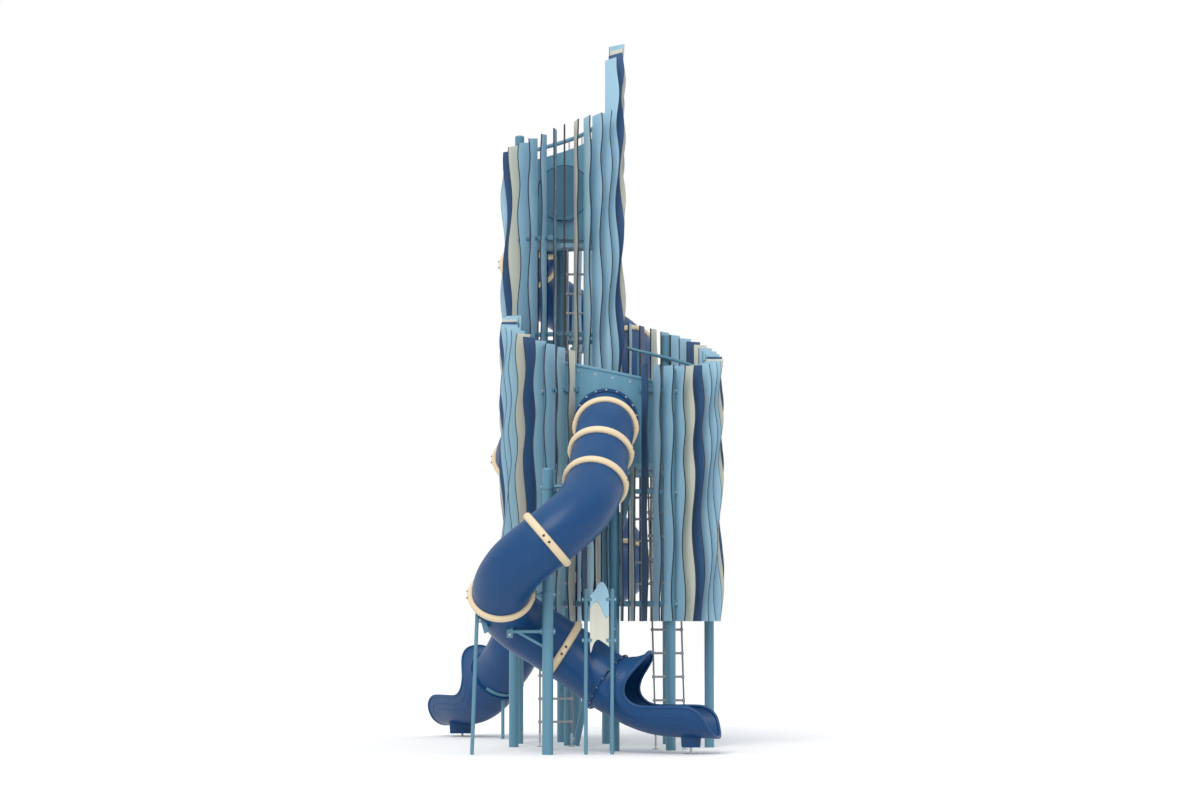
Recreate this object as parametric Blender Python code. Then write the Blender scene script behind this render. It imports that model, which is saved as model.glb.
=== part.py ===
"""Playground play structure: two towers clad in wavy upright fins, with two spiral tube slides.

Blender 4.5, metres, +Z up, ground at z = 0. The front of the object faces -Y.
The short tower's ring is centred on (RING_X, RING_Y); every other place is worked out from it.
"""

import bmesh
import bpy
from math import cos, degrees, pi, radians, sin
from mathutils import Vector

# Clearance between pieces that touch.
GAP = 0.0003

# Centre of the short tower. It puts the middle of the whole object's plan on the origin.
RING_X = 0.55478
RING_Y = -0.61116

# Posts.
POST_R = 0.0635
SLIDE_POST_R = 0.070
THIN_POST_R = 0.024
POST_SIDES = 16

# Short tower.
SHORT_R_IN = 1.267
SHORT_R_OUT = 1.460
SHORT_POST_RING = 1.293
SHORT_TOP_MID = 5.42
SHORT_TOP_SWING = 0.456
SHORT_TOP_LOW_AT = 32.0
SHORT_PITCH = 7.2
SHORT_POSTS = {
    "short_post_left": -90.0,
    "short_post_front_left": -39.6,
    "short_post_front": 1.5,
    "short_post_front_right": 36.0,
    "short_post_right": 86.4,
    "short_post_back": 144.0,
}
FIN_FOOT = 1.66
FIN_THICK = 0.020
WAVE = 0.034
WAVE_LENGTH = 0.86
WAVE_DRIFT = 50.0
MAIN_DECK_TOP = 3.70
DECK_THICK = 0.08
PANEL_THICK = 0.020

# Tall tower.
TALL_X = -0.66
TALL_Y = 1.15
TALL_R_IN = 0.645
TALL_R_OUT = 0.830
TALL_POST_RING = 0.600
TALL_FINS = 29
TALL_FIRST = 2.0
TALL_STEP = 0.045
TALL_LEFT_TOP = 8.07
TALL_JUMP_AT = 58.0
TALL_JUMP = 0.68
TALL_JUMP_STEP = 0.045
TALL_LAST = 107.0
TALL_DECK_TOP = 6.88
TALL_INNER_FOOT = 4.86

TALL_POSTS = {
    "tall_post_left": -91.1,
    "tall_post_front": 8.2,
    "tall_post_right": 95.1,
    "tall_post_back": 182.0,
}
TALL_POST_TOPS = {
    "tall_post_left": 8.35,
    "tall_post_front": 4.80,
    "tall_post_right": 8.35,
    "tall_post_back": 7.00,
}

# Panels and rails.
RAIL_R = 0.024
SHORT_PANEL_R = 1.200
SHORT_PANEL_FROM = -31.5
SHORT_PANEL_TO = 32.5
SHORT_PANEL_HIGH = 5.00
SHORT_PANEL_LOW = 4.72
TALL_PANEL_R = 0.500
TALL_PANEL_FROM = 118.0
TALL_PANEL_TO = 246.0
TALL_PANEL_RIGHT_TOP = 8.52
TALL_PANEL_LEFT_TOP = 8.16

# The slides' centre lines, from the short tower's centre.
FRONT_POINTS = (
    (-0.07, -1.15, 4.27),
    (-0.09, -1.60, 4.08),
    (-0.16, -2.02, 3.70),
    (-0.225, -2.42, 3.34),
    (-0.395, -2.81, 3.02),
    (-0.805, -2.99, 2.66),
    (-1.215, -2.81, 2.32),
    (-1.385, -2.40, 1.99),
    (-1.215, -1.99, 1.69),
    (-0.805, -1.80, 1.41),
    (-0.45, -1.78, 1.18),
    (-0.06, -1.90, 0.90),
)
FRONT_COLLARS = (2, 4, 6, 10, 14, 19)
REAR_START = (
    (-0.65, 1.58, 7.62),
    (-0.75, 2.15, 7.44),
    (-0.93, 2.75, 7.18),
)
REAR_LEFT_Z = 6.81
REAR_STEPS = 13
REAR_COLLARS = (6, 13, 22, 30)
REAR_RUNS = (13, 22, 30)
REAR_END = (
    (0.02, 2.92, 2.27),
    (-0.52, 2.60, 2.05),
    (-1.00, 2.42, 1.71),
    (-1.29, 2.50, 1.38),
    (-1.447, 2.755, 1.12),
    (-1.61, 3.02, 0.90),
)

# A slide's exit along its line: distance from the seam, height, and how far its section reaches up.
EXIT_LINE = (
    (0.00, 0.900, 0.370), (0.20, 0.790, 0.440), (0.40, 0.690, 0.590), (0.60, 0.620, 0.690),
    (0.80, 0.585, 0.500), (1.05, 0.572, 0.370), (1.30, 0.566, 0.370), (1.50, 0.560, 0.370),
)
# Its side view: what is cut away, first the way in under the hood, then the open end.
EXIT_CUT = (
    (0.60, 1.60), (0.54, 1.30), (0.50, 1.19), (0.42, 1.06), (0.33, 0.93), (0.30, 0.80), (0.34, 0.69),
    (0.44, 0.62), (0.58, 0.59), (1.10, 0.59), (1.22, 0.56), (1.32, 0.47), (1.38, 0.33), (1.44, 0.21),
    (1.52, 0.10), (1.95, 0.10), (1.95, 1.60),
)

# Small posts.
SLIDE_POST_X = -0.805
SLIDE_POST_Y = -2.40
SLIDE_POST_TOP = 3.54
REAR_POST_TOP = 6.40
ARM_R = 0.022
WAVE_Y = -2.33
WAVE_LEFT = -0.329
WAVE_RIGHT = 0.000
WAVE_POST_TOP = 2.03
SUPPORT_X = -1.72
SUPPORT_LEAN = 0.07
FOOT_AT = 1.02
STRUT_R = 0.050
STRUT_FOOT = (0.80, -0.05, 0.0)
STRUT_HEAD = (0.63, -0.05, MAIN_DECK_TOP - DECK_THICK - GAP)
WAVE_ARM_Z = 1.56
FOOT_HALF = (0.13, 0.10)
FLANGE_R = 0.414
FLANGE_DEEP = 0.022
FLANGE_Y = -1.2203

# Hatches in the floors, each behind its ladder: low corner and high corner from the short tower's centre.
MAIN_HATCHES = (((0.36, -0.72), (0.78, -0.20)), ((-0.98, 0.13), (-0.50, 0.62)))
TALL_HATCH = ((-0.72, 0.80), (-0.24, 1.27))

# Slides.
TUBE_R = 0.370
TUBE_WALL = 0.012
TUBE_SIDES = 14
COLLAR_DEEP = 0.040
COLLAR_WIDE = 0.095
HELIX_X = -0.49
HELIX_Y = 3.45
HELIX_R = 0.80
HELIX_FIRST_X = -0.44
HELIX_FIRST_R = 0.75
HELIX_NARROWS = 0.05
HELIX_DROP = 1.41
HELIX_LOW_DROP = 1.52


def clear_scene():
    for old in list(bpy.data.objects):
        bpy.data.objects.remove(old, do_unlink=True)


def material(name, colour, rough, metal):
    made = bpy.data.materials.new(name)
    made.use_nodes = True
    shader = made.node_tree.nodes["Principled BSDF"]
    shader.inputs["Base Color"].default_value = (*colour, 1.0)
    shader.inputs["Roughness"].default_value = rough
    shader.inputs["Metallic"].default_value = metal
    return made


TEAL = (0.115, 0.270, 0.350)
LIGHT_BLUE = (0.230, 0.390, 0.510)
NAVY = (0.020, 0.070, 0.180)
TAN = (0.480, 0.480, 0.380)
CREAM = (0.790, 0.650, 0.400)
GREY = (0.250, 0.240, 0.250)


def place(x, y, z=0.0):
    """A point given from the short tower's centre."""
    return Vector((RING_X + x, RING_Y + y, z))


def on_ring(angle, radius, z=0.0, centre=(0.0, 0.0)):
    """Angle 0 is the front (-Y), and it grows towards +X."""
    turn = radians(angle)
    return place(centre[0] + radius * sin(turn), centre[1] - radius * cos(turn), z)


def solid(name, points, faces):
    """A mesh object with outward normals."""
    mesh = bpy.data.meshes.new(name)
    mesh.from_pydata([tuple(p) for p in points], [], faces)
    mesh.validate()
    shape = bmesh.new()
    shape.from_mesh(mesh)
    bmesh.ops.recalc_face_normals(shape, faces=shape.faces)
    shape.to_mesh(mesh)
    shape.free()
    made = bpy.data.objects.new(name, mesh)
    bpy.context.scene.collection.objects.link(made)
    return made


def finish(obj, name, colour, rough=0.45, metal=0.0):
    obj.name = name
    obj.data.name = name
    obj.data.materials.clear()
    obj.data.materials.append(material(name + "_look", colour, rough, metal))
    return obj


def bake(obj):
    """Turns the evaluated mesh into the object's own mesh."""
    graph = bpy.context.evaluated_depsgraph_get()
    mesh = bpy.data.meshes.new_from_object(obj.evaluated_get(graph))
    obj.modifiers.clear()
    obj.data = mesh
    return obj


def boolean(target, others, operation):
    """Joins or cuts a list of objects at once, and removes them."""
    group = bpy.data.collections.new("operands")
    bpy.context.scene.collection.children.link(group)
    for other in others:
        for holder in list(other.users_collection):
            holder.objects.unlink(other)
        group.objects.link(other)
    step = target.modifiers.new("step", "BOOLEAN")
    step.operation = operation
    step.operand_type = "COLLECTION"
    step.collection = group
    step.solver = "EXACT"
    bpy.context.view_layer.update()
    bake(target)
    for other in others:
        bpy.data.objects.remove(other, do_unlink=True)
    bpy.data.collections.remove(group)
    return target


def union(pieces):
    return boolean(pieces[0], pieces[1:], "UNION")


def cut(target, cutters):
    return boolean(target, cutters, "DIFFERENCE")


def rod(start, end, radius, sides=POST_SIDES, end_radius=None):
    """A closed cylinder between two points."""
    start, end = Vector(start), Vector(end)
    along = (end - start).normalized()
    side = along.cross(Vector((0, 0, 1)))
    if side.length < 1e-6:
        side = Vector((1, 0, 0))
    side.normalize()
    up = side.cross(along).normalized()
    points, faces = [], []
    for centre, r in ((start, radius), (end, end_radius or radius)):
        for i in range(sides):
            turn = 2 * pi * i / sides
            points.append(centre + side * (r * cos(turn)) + up * (r * sin(turn)))
    for i in range(sides):
        j = (i + 1) % sides
        faces.append((i, j, sides + j, sides + i))
    faces.append(tuple(range(sides)))
    faces.append(tuple(range(sides, 2 * sides)))
    return solid("rod", points, faces)


def box(low, high):
    points = [(x, y, z) for z in (low[2], high[2]) for y in (low[1], high[1]) for x in (low[0], high[0])]
    faces = [(0, 1, 3, 2), (4, 5, 7, 6), (0, 1, 5, 4), (2, 3, 7, 6), (0, 2, 6, 4), (1, 3, 7, 5)]
    return solid("box", points, faces)


def post(foot, top, radius=POST_R):
    """An upright post with a flat foot and a low domed cap."""
    points, faces = [], []
    rings = [(0.0, 1.0), (1.0, 1.0)]
    cap = ((0.020, 0.86), (0.036, 0.50))
    levels = [(foot.z + (top - foot.z) * t, radius * k) for t, k in rings]
    levels += [(top + up, radius * k) for up, k in cap]
    for z, r in levels:
        for i in range(POST_SIDES):
            turn = 2 * pi * i / POST_SIDES
            points.append((foot.x + r * cos(turn), foot.y + r * sin(turn), z))
    for k in range(len(levels) - 1):
        for i in range(POST_SIDES):
            j = (i + 1) % POST_SIDES
            a, b = k * POST_SIDES, (k + 1) * POST_SIDES
            faces.append((a + i, a + j, b + j, b + i))
    faces.append(tuple(range(POST_SIDES)))
    last = (len(levels) - 1) * POST_SIDES
    faces.append(tuple(range(last, last + POST_SIDES)))
    return solid("post", points, faces)


def extrude_outline(outline, offset):
    """A prism: a flat outline and the same outline moved by offset."""
    count = len(outline)
    points = [Vector(p) for p in outline] + [Vector(p) + Vector(offset) for p in outline]
    faces = [tuple(range(count)), tuple(range(count, 2 * count))]
    for i in range(count):
        j = (i + 1) % count
        faces.append((i, j, count + j, count + i))
    return solid("prism", points, faces)


def fin(angle, r_in, r_out, low, high, centre=(0.0, 0.0)):
    """A plank standing radially: straight inside, wavy outside."""
    steps = max(6, round((high - low) / (WAVE_LENGTH / 4.0)))
    across = on_ring(angle + 90.0, 1.0) - on_ring(angle + 90.0, 0.0)
    out = on_ring(angle, 1.0) - on_ring(angle, 0.0)
    base = place(*centre) - across * (FIN_THICK / 2)
    outline = [base + out * r_in + Vector((0, 0, low))]
    for i in range(steps + 1):
        z = low + (high - low) * i / steps
        swing = sin(2 * pi * z / WAVE_LENGTH + radians(WAVE_DRIFT) * angle / SHORT_PITCH)
        outline.append(base + out * (r_out + WAVE * swing) + Vector((0, 0, z)))
    outline.append(base + out * r_in + Vector((0, 0, high)))
    return extrude_outline(outline, across * FIN_THICK)


def arc_bar(start, end, r_in, r_out, low, high, centre=(0.0, 0.0), step=9.0, high_end=None):
    """A bar bent round a ring, from one angle to another, with an upper edge that may slope."""
    count = max(1, round(abs(end - start) / step))
    points, faces = [], []
    for i in range(count + 1):
        angle = start + (end - start) * i / count
        top = high if high_end is None else high + (high_end - high) * i / count
        points += [
            on_ring(angle, r_in, low, centre),
            on_ring(angle, r_out, low, centre),
            on_ring(angle, r_out, top, centre),
            on_ring(angle, r_in, top, centre),
        ]
    for i in range(count):
        a, b = 4 * i, 4 * i + 4
        for k in range(4):
            n = (k + 1) % 4
            faces.append((a + k, a + n, b + n, b + k))
    faces.append((0, 1, 2, 3))
    faces.append(tuple(range(4 * count, 4 * count + 4)))
    return solid("arc", points, faces)


def spline(points, per_piece):
    """Catmull-Rom curve through the points, as (position, direction) samples."""
    ends = [2 * points[0] - points[1]] + list(points) + [2 * points[-1] - points[-2]]
    samples = []
    for k in range(1, len(ends) - 2):
        a, b, c, d = ends[k - 1], ends[k], ends[k + 1], ends[k + 2]
        for i in range(per_piece):
            samples.append(spline_at(a, b, c, d, i / per_piece))
    samples.append(spline_at(ends[-4], ends[-3], ends[-2], ends[-1], 1.0))
    return samples


def spline_at(a, b, c, d, t):
    where = 0.5 * (
        2 * b + (c - a) * t + (2 * a - 5 * b + 4 * c - d) * t ** 2 + (3 * b - a - 3 * c + d) * t ** 3
    )
    along = 0.5 * ((c - a) + 2 * (2 * a - 5 * b + 4 * c - d) * t + 3 * (3 * b - a - 3 * c + d) * t ** 2)
    return where, along.normalized()


def ring_at(sample, radius, sides=TUBE_SIDES, rise=1.0):
    where, along = sample
    side = along.cross(Vector((0, 0, 1))).normalized()
    up = side.cross(along).normalized()
    points = []
    for i in range(sides):
        turn = 2 * pi * (i + 0.5) / sides
        height = radius * sin(turn) * (rise if sin(turn) > 0 else 1.0)
        points.append(where + side * (radius * cos(turn)) + up * height)
    return points


def patch(a, b, c, d):
    """A twisted four-sided patch as two triangles, always split along the same diagonal."""
    return [(a, b, c), (a, c, d)]


def pipe(samples, outer, inner, sides=TUBE_SIDES):
    """A hollow tube through the samples. outer and inner are radii, or one radius for each sample."""
    count = len(samples)
    outers = outer if isinstance(outer, list) else [outer] * count
    inners = inner if isinstance(inner, list) else [inner] * count
    points, faces = [], []
    for sample, r_out, r_in in zip(samples, outers, inners):
        points += ring_at(sample, r_out, sides) + ring_at(sample, r_in, sides)
    for k in range(count - 1):
        a, b = 2 * sides * k, 2 * sides * (k + 1)
        for i in range(sides):
            j = (i + 1) % sides
            faces += patch(a + i, a + j, b + j, b + i)
            faces += patch(a + sides + i, a + sides + j, b + sides + j, b + sides + i)
    for a in (0, 2 * sides * (count - 1)):
        for i in range(sides):
            j = (i + 1) % sides
            faces.append((a + i, a + j, a + sides + j, a + sides + i))
    return solid("pipe", points, faces)


def shifted(sample, distance):
    """The sample moved along its own direction."""
    return sample[0] + sample[1] * distance, sample[1]


def short_top(angle):
    return SHORT_TOP_MID - SHORT_TOP_SWING * cos(radians(angle - SHORT_TOP_LOW_AT))


def tall_top(angle):
    """Fin tops climb from the back, by the left and the front, to the right."""
    turn = (angle + 360.0 - TALL_LAST) % 360.0 - (270.0 - TALL_LAST)
    pitch = 360.0 / TALL_FINS
    top = TALL_LEFT_TOP + TALL_STEP * turn / pitch
    if TALL_JUMP_AT < angle < TALL_LAST:
        top += TALL_JUMP + TALL_JUMP_STEP * (angle - TALL_JUMP_AT) / pitch
    return top


def fin_bank(name, fins, hoops, feet, colour):
    """One bank: fins joined by hoop bars, which end on the posts at feet."""
    pieces = [fin(*entry) for entry in fins] + [arc_bar(*entry) for entry in hoops]
    cutters = [post_prism(foot, 0.5, 9.9, POST_R + GAP) for foot in feet]
    return finish(cut(union(pieces), cutters), name, colour, 0.5)


def build_short_tower():
    for name, angle in SHORT_POSTS.items():
        top = short_top(angle) - 0.05
        if name == "short_post_front":
            top = MAIN_DECK_TOP - DECK_THICK - 0.10
        finish(post(on_ring(angle, SHORT_POST_RING), top), name, TEAL, 0.4, 0.3)

    posts = SHORT_POSTS
    banks = (
        ("short_fins_left_front", posts["short_post_front_left"], posts["short_post_front"],
         [-36.0, -28.8, -22.3], [-15.0, -8.4, -2.4]),
        ("short_fins_right_front", posts["short_post_front"], posts["short_post_front_right"],
         [18.0, 25.2, 32.4], [5.4, 11.4]),
        ("short_fins_left", posts["short_post_left"], posts["short_post_front_left"],
         [-86.4 + SHORT_PITCH * i for i in range(7)], []),
        ("short_fins_left_back", -111.0, posts["short_post_left"],
         [-108.0, -100.8, -93.6], []),
        ("short_fins_right", posts["short_post_front_right"], posts["short_post_right"],
         [39.6 + SHORT_PITCH * i for i in range(7)], []),
        ("short_fins_right_back", posts["short_post_right"], posts["short_post_back"],
         [90.0 + SHORT_PITCH * i for i in range(8)], []),
        ("short_fins_back", posts["short_post_back"], 172.0,
         [147.6 + SHORT_PITCH * i for i in range(4)], []),
    )
    for name, start, end, full, low_only in banks:
        first, last = start, end
        feet = [on_ring(angle, SHORT_POST_RING) for angle in (start, end) if angle in posts.values()]
        fins = [(a, SHORT_R_IN, SHORT_R_OUT, FIN_FOOT, short_top(a)) for a in full]
        fins += [(a, SHORT_R_IN, SHORT_R_OUT, FIN_FOOT, MAIN_DECK_TOP - 0.06) for a in low_only]
        hoops = []
        for level in ((1.86, 3.30) if low_only else (1.86,)):
            hoops.append((first, last, SHORT_R_IN - 0.03, SHORT_R_IN + 0.012, level, level + 0.06))
        top_first, top_last = first, last
        if low_only:
            top_first = min(full) - 2.0 if min(full) > 0 else first
            top_last = max(full) + 2.0 if max(full) < 0 else last
        hoops.append((top_first, top_last, SHORT_R_IN - 0.03, SHORT_R_IN + 0.012, 4.62, 4.68))
        fin_bank(name, fins, hoops, feet, LIGHT_BLUE)


def sweep(samples, radius, sides=8, rise=None):
    """A solid bar through the samples. rise stretches the upper half of each section."""
    points, faces = [], []
    for sample, stretch in zip(samples, rise or [1.0] * len(samples)):
        points += ring_at(sample, radius, sides, stretch)
    for k in range(len(samples) - 1):
        a, b = sides * k, sides * (k + 1)
        for i in range(sides):
            j = (i + 1) % sides
            faces += patch(a + i, a + j, b + j, b + i)
    faces.append(tuple(range(sides)))
    last = sides * (len(samples) - 1)
    faces.append(tuple(range(last, last + sides)))
    return solid("sweep", points, faces)


def arc_samples(start, end, radius, z_start, z_end, centre=(0.0, 0.0), step=8.0):
    """Samples for a rail that is bent round a ring and slopes evenly."""
    count = max(2, round(abs(end - start) / step))
    where = []
    for i in range(count + 1):
        t = i / count
        where.append(on_ring(start + (end - start) * t, radius, z_start + (z_end - z_start) * t, centre))
    samples = []
    for i, spot in enumerate(where):
        before, after = where[max(0, i - 1)], where[min(count, i + 1)]
        samples.append((spot, (after - before).normalized()))
    return samples


def disc(radius, low, high, centre=(0.0, 0.0), sides=50):
    outline = [on_ring(360.0 * i / sides, radius, low, centre) for i in range(sides)]
    return extrude_outline(outline, (0, 0, high - low))


def post_hole(foot, low, high, radius=POST_R):
    """A cutter that leaves the usual gap round a post."""
    return post_prism(foot, low, high, radius + GAP)


def post_prism(foot, low, high, radius):
    outline = []
    for i in range(POST_SIDES):
        turn = 2 * pi * i / POST_SIDES
        outline.append(Vector((foot.x + radius * cos(turn), foot.y + radius * sin(turn), low)))
    return extrude_outline(outline, (0, 0, high - low))


def tall_foot(key):
    return on_ring(TALL_POSTS[key], TALL_POST_RING, 0.0, (TALL_X, TALL_Y))


def inside_short_ring(angle):
    """Whether a fin of the tall ring stands over the short tower's floor."""
    spot = on_ring(angle, TALL_R_IN, 0.0, (TALL_X, TALL_Y)) - place(0, 0)
    return spot.length < SHORT_R_IN + 0.03


def build_tall_tower():
    centre = (TALL_X, TALL_Y)
    for name, angle in TALL_POSTS.items():
        foot = on_ring(angle, TALL_POST_RING, 0.0, centre)
        finish(post(foot, TALL_POST_TOPS[name]), name, TEAL, 0.4, 0.3)

    pitch = 360.0 / TALL_FINS
    banks = (
        ("tall_fins_front", "tall_post_left", "tall_post_front", -7, 0),
        ("tall_fins_right", "tall_post_front", "tall_post_right", 1, 7),
        ("tall_fins_back_right", "tall_post_right", "tall_post_back", 8, 14),
        ("tall_fins_back_left", "tall_post_back", "tall_post_left", 15, 21),
    )
    for name, start, end, first, last in banks:
        begin = TALL_POSTS[start]
        finish_at = TALL_POSTS[end]
        feet = [tall_foot(key) for key in (start, end) if TALL_POST_TOPS[key] > TALL_DECK_TOP]
        if finish_at < begin:
            finish_at += 360.0
        fins, low_angles = [], []
        for k in range(first, last + 1):
            angle = TALL_FIRST + pitch * k
            inner = inside_short_ring(angle)
            top = tall_top(angle - 360.0 if angle > 180.0 else angle)
            if abs(angle - 180.0) < 38.0:
                top = TALL_DECK_TOP + 0.08
            fins.append((angle, TALL_R_IN, TALL_R_OUT, TALL_INNER_FOOT if inner else FIN_FOOT, top, centre))
            if not inner:
                low_angles.append(angle)
        r_in, r_out = TALL_R_IN - 0.03, TALL_R_IN + 0.012
        half = degrees(GAP / 2 / r_in)
        hoops = [(begin + half, finish_at - half, r_in, r_out, z, z + 0.06, centre, 14.0) for z in (5.58, 6.60)]
        if low_angles:
            low_start = begin if begin > min(low_angles) - pitch else min(low_angles) - 1.0
            low_end = finish_at if finish_at < max(low_angles) + pitch else max(low_angles) + 1.0
            hoops += [(low_start, low_end, r_in, r_out, z, z + 0.06, centre, 14.0) for z in (1.86,)]
        fin_bank(name, fins, hoops, feet, LIGHT_BLUE)


def hatch(corners, low, high):
    """A cutter for a square way through a floor."""
    (x0, y0), (x1, y1) = corners
    return box(place(x0, y0, low - 0.1), place(x1, y1, high + 0.1))


def build_floors_and_panels():
    tall = (TALL_X, TALL_Y)
    short_feet = [on_ring(angle, SHORT_POST_RING) for angle in SHORT_POSTS.values()]
    tall_feet = [tall_foot(key) for key in TALL_POSTS]
    low, high = MAIN_DECK_TOP - DECK_THICK, MAIN_DECK_TOP
    holes = [post_hole(foot, low - 0.1, high + 0.1) for foot in short_feet + tall_feet]
    deck = union([disc(SHORT_R_IN - 0.031, low, high), disc(TALL_R_IN - 0.034, low, high, tall, 29)])
    holes += [hatch(corners, low, high) for corners in MAIN_HATCHES]
    finish(cut(deck, holes), "main_deck", TEAL, 0.6, 0.2)

    low, high = TALL_DECK_TOP - DECK_THICK, TALL_DECK_TOP
    reaching = [tall_foot(key) for key in TALL_POSTS if TALL_POST_TOPS[key] > high]
    holes = [post_hole(foot, low - 0.1, high + 0.1) for foot in reaching]
    holes.append(hatch(TALL_HATCH, low, high))
    finish(cut(disc(TALL_R_IN - 0.034, low, high, tall, 29), holes), "tall_deck", TEAL, 0.6, 0.2)

    r = SHORT_PANEL_R
    low = MAIN_DECK_TOP + GAP
    wall = arc_bar(SHORT_PANEL_FROM, SHORT_PANEL_TO, r, r + PANEL_THICK, low, SHORT_PANEL_HIGH,
                   (0.0, 0.0), 5.0, SHORT_PANEL_LOW)
    hole = sweep([shifted(FRONT_ROUTE[0], -0.3)] + FRONT_ROUTE[:4], TUBE_R + GAP, TUBE_SIDES)
    wall = cut(wall, [hole])
    centre = FRONT_ROUTE[0][0].lerp(FRONT_ROUTE[1][0], 0.3)
    centre.y = RING_Y + FLANGE_Y
    flange = rod(centre, centre + Vector((0, -FLANGE_DEEP, 0)), FLANGE_R, 32)
    core = sweep([shifted(FRONT_ROUTE[0], -0.3)] + FRONT_ROUTE[:3], TUBE_R + GAP, TUBE_SIDES)
    finish(cut(flange, [core]), "front_flange", NAVY, 0.4)
    rail = arc_samples(SHORT_PANEL_FROM, SHORT_PANEL_TO, r + PANEL_THICK / 2,
                       SHORT_PANEL_HIGH, SHORT_PANEL_LOW)
    finish(union([wall, sweep(rail, RAIL_R)]), "short_front_panel", TEAL, 0.45, 0.1)

    rail = arc_samples(100.0, 170.0, SHORT_PANEL_R, 5.02, 5.40)
    brackets = []
    for angle in (110.0, 162.0):
        t = (angle - 100.0) / 70.0
        z = 5.02 + 0.38 * t
        brackets.append(rod(on_ring(angle, SHORT_PANEL_R, MAIN_DECK_TOP + GAP), on_ring(angle, SHORT_PANEL_R, z),
                            0.018, 8))
    finish(union([sweep(rail, RAIL_R)] + brackets), "short_back_rail", TEAL, 0.4, 0.3)

    r = TALL_PANEL_R
    low = TALL_DECK_TOP + GAP
    wall = arc_bar(TALL_PANEL_FROM, TALL_PANEL_TO, r, r + PANEL_THICK, low, TALL_PANEL_RIGHT_TOP,
                   tall, 8.0, TALL_PANEL_LEFT_TOP)
    hole = sweep([shifted(REAR_ROUTE[0], -0.3)] + REAR_ROUTE[:4], TUBE_R + GAP, TUBE_SIDES)
    wall = cut(wall, [hole])
    rail = arc_samples(TALL_PANEL_FROM, TALL_PANEL_TO, r + PANEL_THICK / 2,
                       TALL_PANEL_RIGHT_TOP, TALL_PANEL_LEFT_TOP, tall)
    finish(union([wall, sweep(rail, RAIL_R)]), "tall_back_panel", TEAL, 0.45, 0.1)


def route(points, per_piece, start_along):
    """Samples of a slide's line, which leaves its panel squarely."""
    samples = spline([place(*p) for p in points], per_piece)
    return [(samples[0][0], Vector(start_along))] + samples[1:]


def rear_points():
    """The rear slide: out of the panel, clockwise seen from above, then round to its exit."""
    points = list(REAR_START)
    for step in range(REAR_STEPS):
        angle = 180.0 - 45.0 * step
        first = angle > 0.0
        x, radius = (HELIX_FIRST_X, HELIX_FIRST_R) if first else (HELIX_X, HELIX_R)
        radius -= HELIX_NARROWS * max(0, step - 10)
        z = REAR_LEFT_Z - (HELIX_DROP * min(step, 8) + HELIX_LOW_DROP * max(0, step - 8)) / 4.0
        turn = radians(angle)
        points.append((x + radius * cos(turn), HELIX_Y + radius * sin(turn), z))
    return points + list(REAR_END)


def tube_run(name, samples):
    """A hollow run. Its ends stand a little back from its neighbours."""
    samples = [shifted(samples[0], GAP / 2)] + samples[1:-1] + [shifted(samples[-1], -GAP / 2)]
    return finish(pipe(samples, TUBE_R, TUBE_R - TUBE_WALL), name, NAVY, 0.35)


def collar(name, samples, index):
    """A ring round the joint of two runs, cut to the tube's own surface."""
    half, outer = COLLAR_WIDE / 2, TUBE_R + COLLAR_DEEP
    ring = sweep([shifted(samples[index], -half), shifted(samples[index], half)], outer, TUBE_SIDES)
    core = sweep(samples[index - 1:index + 2], TUBE_R + GAP, TUBE_SIDES)
    return finish(cut(ring, [core]), name, CREAM, 0.5)


def exit_section(name, seam_sample):
    """The open end of a slide: a tube that levels out, cut away above, with a rounded lip."""
    seam, along = shifted(seam_sample, GAP / 2)
    forward = Vector((along.x, along.y, 0.0)).normalized()
    side = Vector((-forward.y, forward.x, 0.0))
    base = Vector((seam.x, seam.y, 0.0))

    def spot(distance, z):
        return base + forward * distance + Vector((0, 0, z))

    line = [spot(d, z) for d, z, up in EXIT_LINE]
    rise = [up / TUBE_R for d, z, up in EXIT_LINE]
    samples = []
    for i, where in enumerate(line):
        before, after = line[max(0, i - 1)], line[min(len(line) - 1, i + 1)]
        samples.append((where, (after - before).normalized()))
    samples[0] = (seam, along)
    flange = sweep([shifted(samples[0], 0.002), shifted(samples[0], FLANGE_DEEP)], FLANGE_R, 18)
    outer = union([sweep(samples, TUBE_R, TUBE_SIDES, rise), flange])
    inner_samples = [shifted(samples[0], -0.05)] + samples[1:-1] + [shifted(samples[-1], 0.05)]
    inner = sweep(inner_samples, TUBE_R - TUBE_WALL, TUBE_SIDES, rise)
    outline = [spot(d, z) - side * 0.6 for d, z in EXIT_CUT]
    return finish(cut(outer, [inner, extrude_outline(outline, side * 1.2)]), name, NAVY, 0.35)


def build_front_slide():
    samples = FRONT_ROUTE
    cuts = [0, 6, 14, len(samples) - 1]
    for k, name in enumerate(("front_slide_upper", "front_slide_bend", "front_slide_lower")):
        tube_run(name, samples[cuts[k]:cuts[k + 1] + 1])
    for k, index in enumerate(FRONT_COLLARS):
        collar("front_collar_" + str(k + 1), samples, index)
    exit_section("front_slide_exit", samples[-1])


def build_rear_slide():
    samples = REAR_ROUTE
    cuts = [0, *REAR_RUNS, len(samples) - 1]
    names = ("rear_slide_top", "rear_slide_upper", "rear_slide_middle", "rear_slide_lower")
    for k, name in enumerate(names):
        tube_run(name, samples[cuts[k]:cuts[k + 1] + 1])
    for k, index in enumerate(REAR_COLLARS):
        collar("rear_collar_" + str(k + 1), samples, index)
    exit_section("rear_slide_exit", samples[-1])


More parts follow.
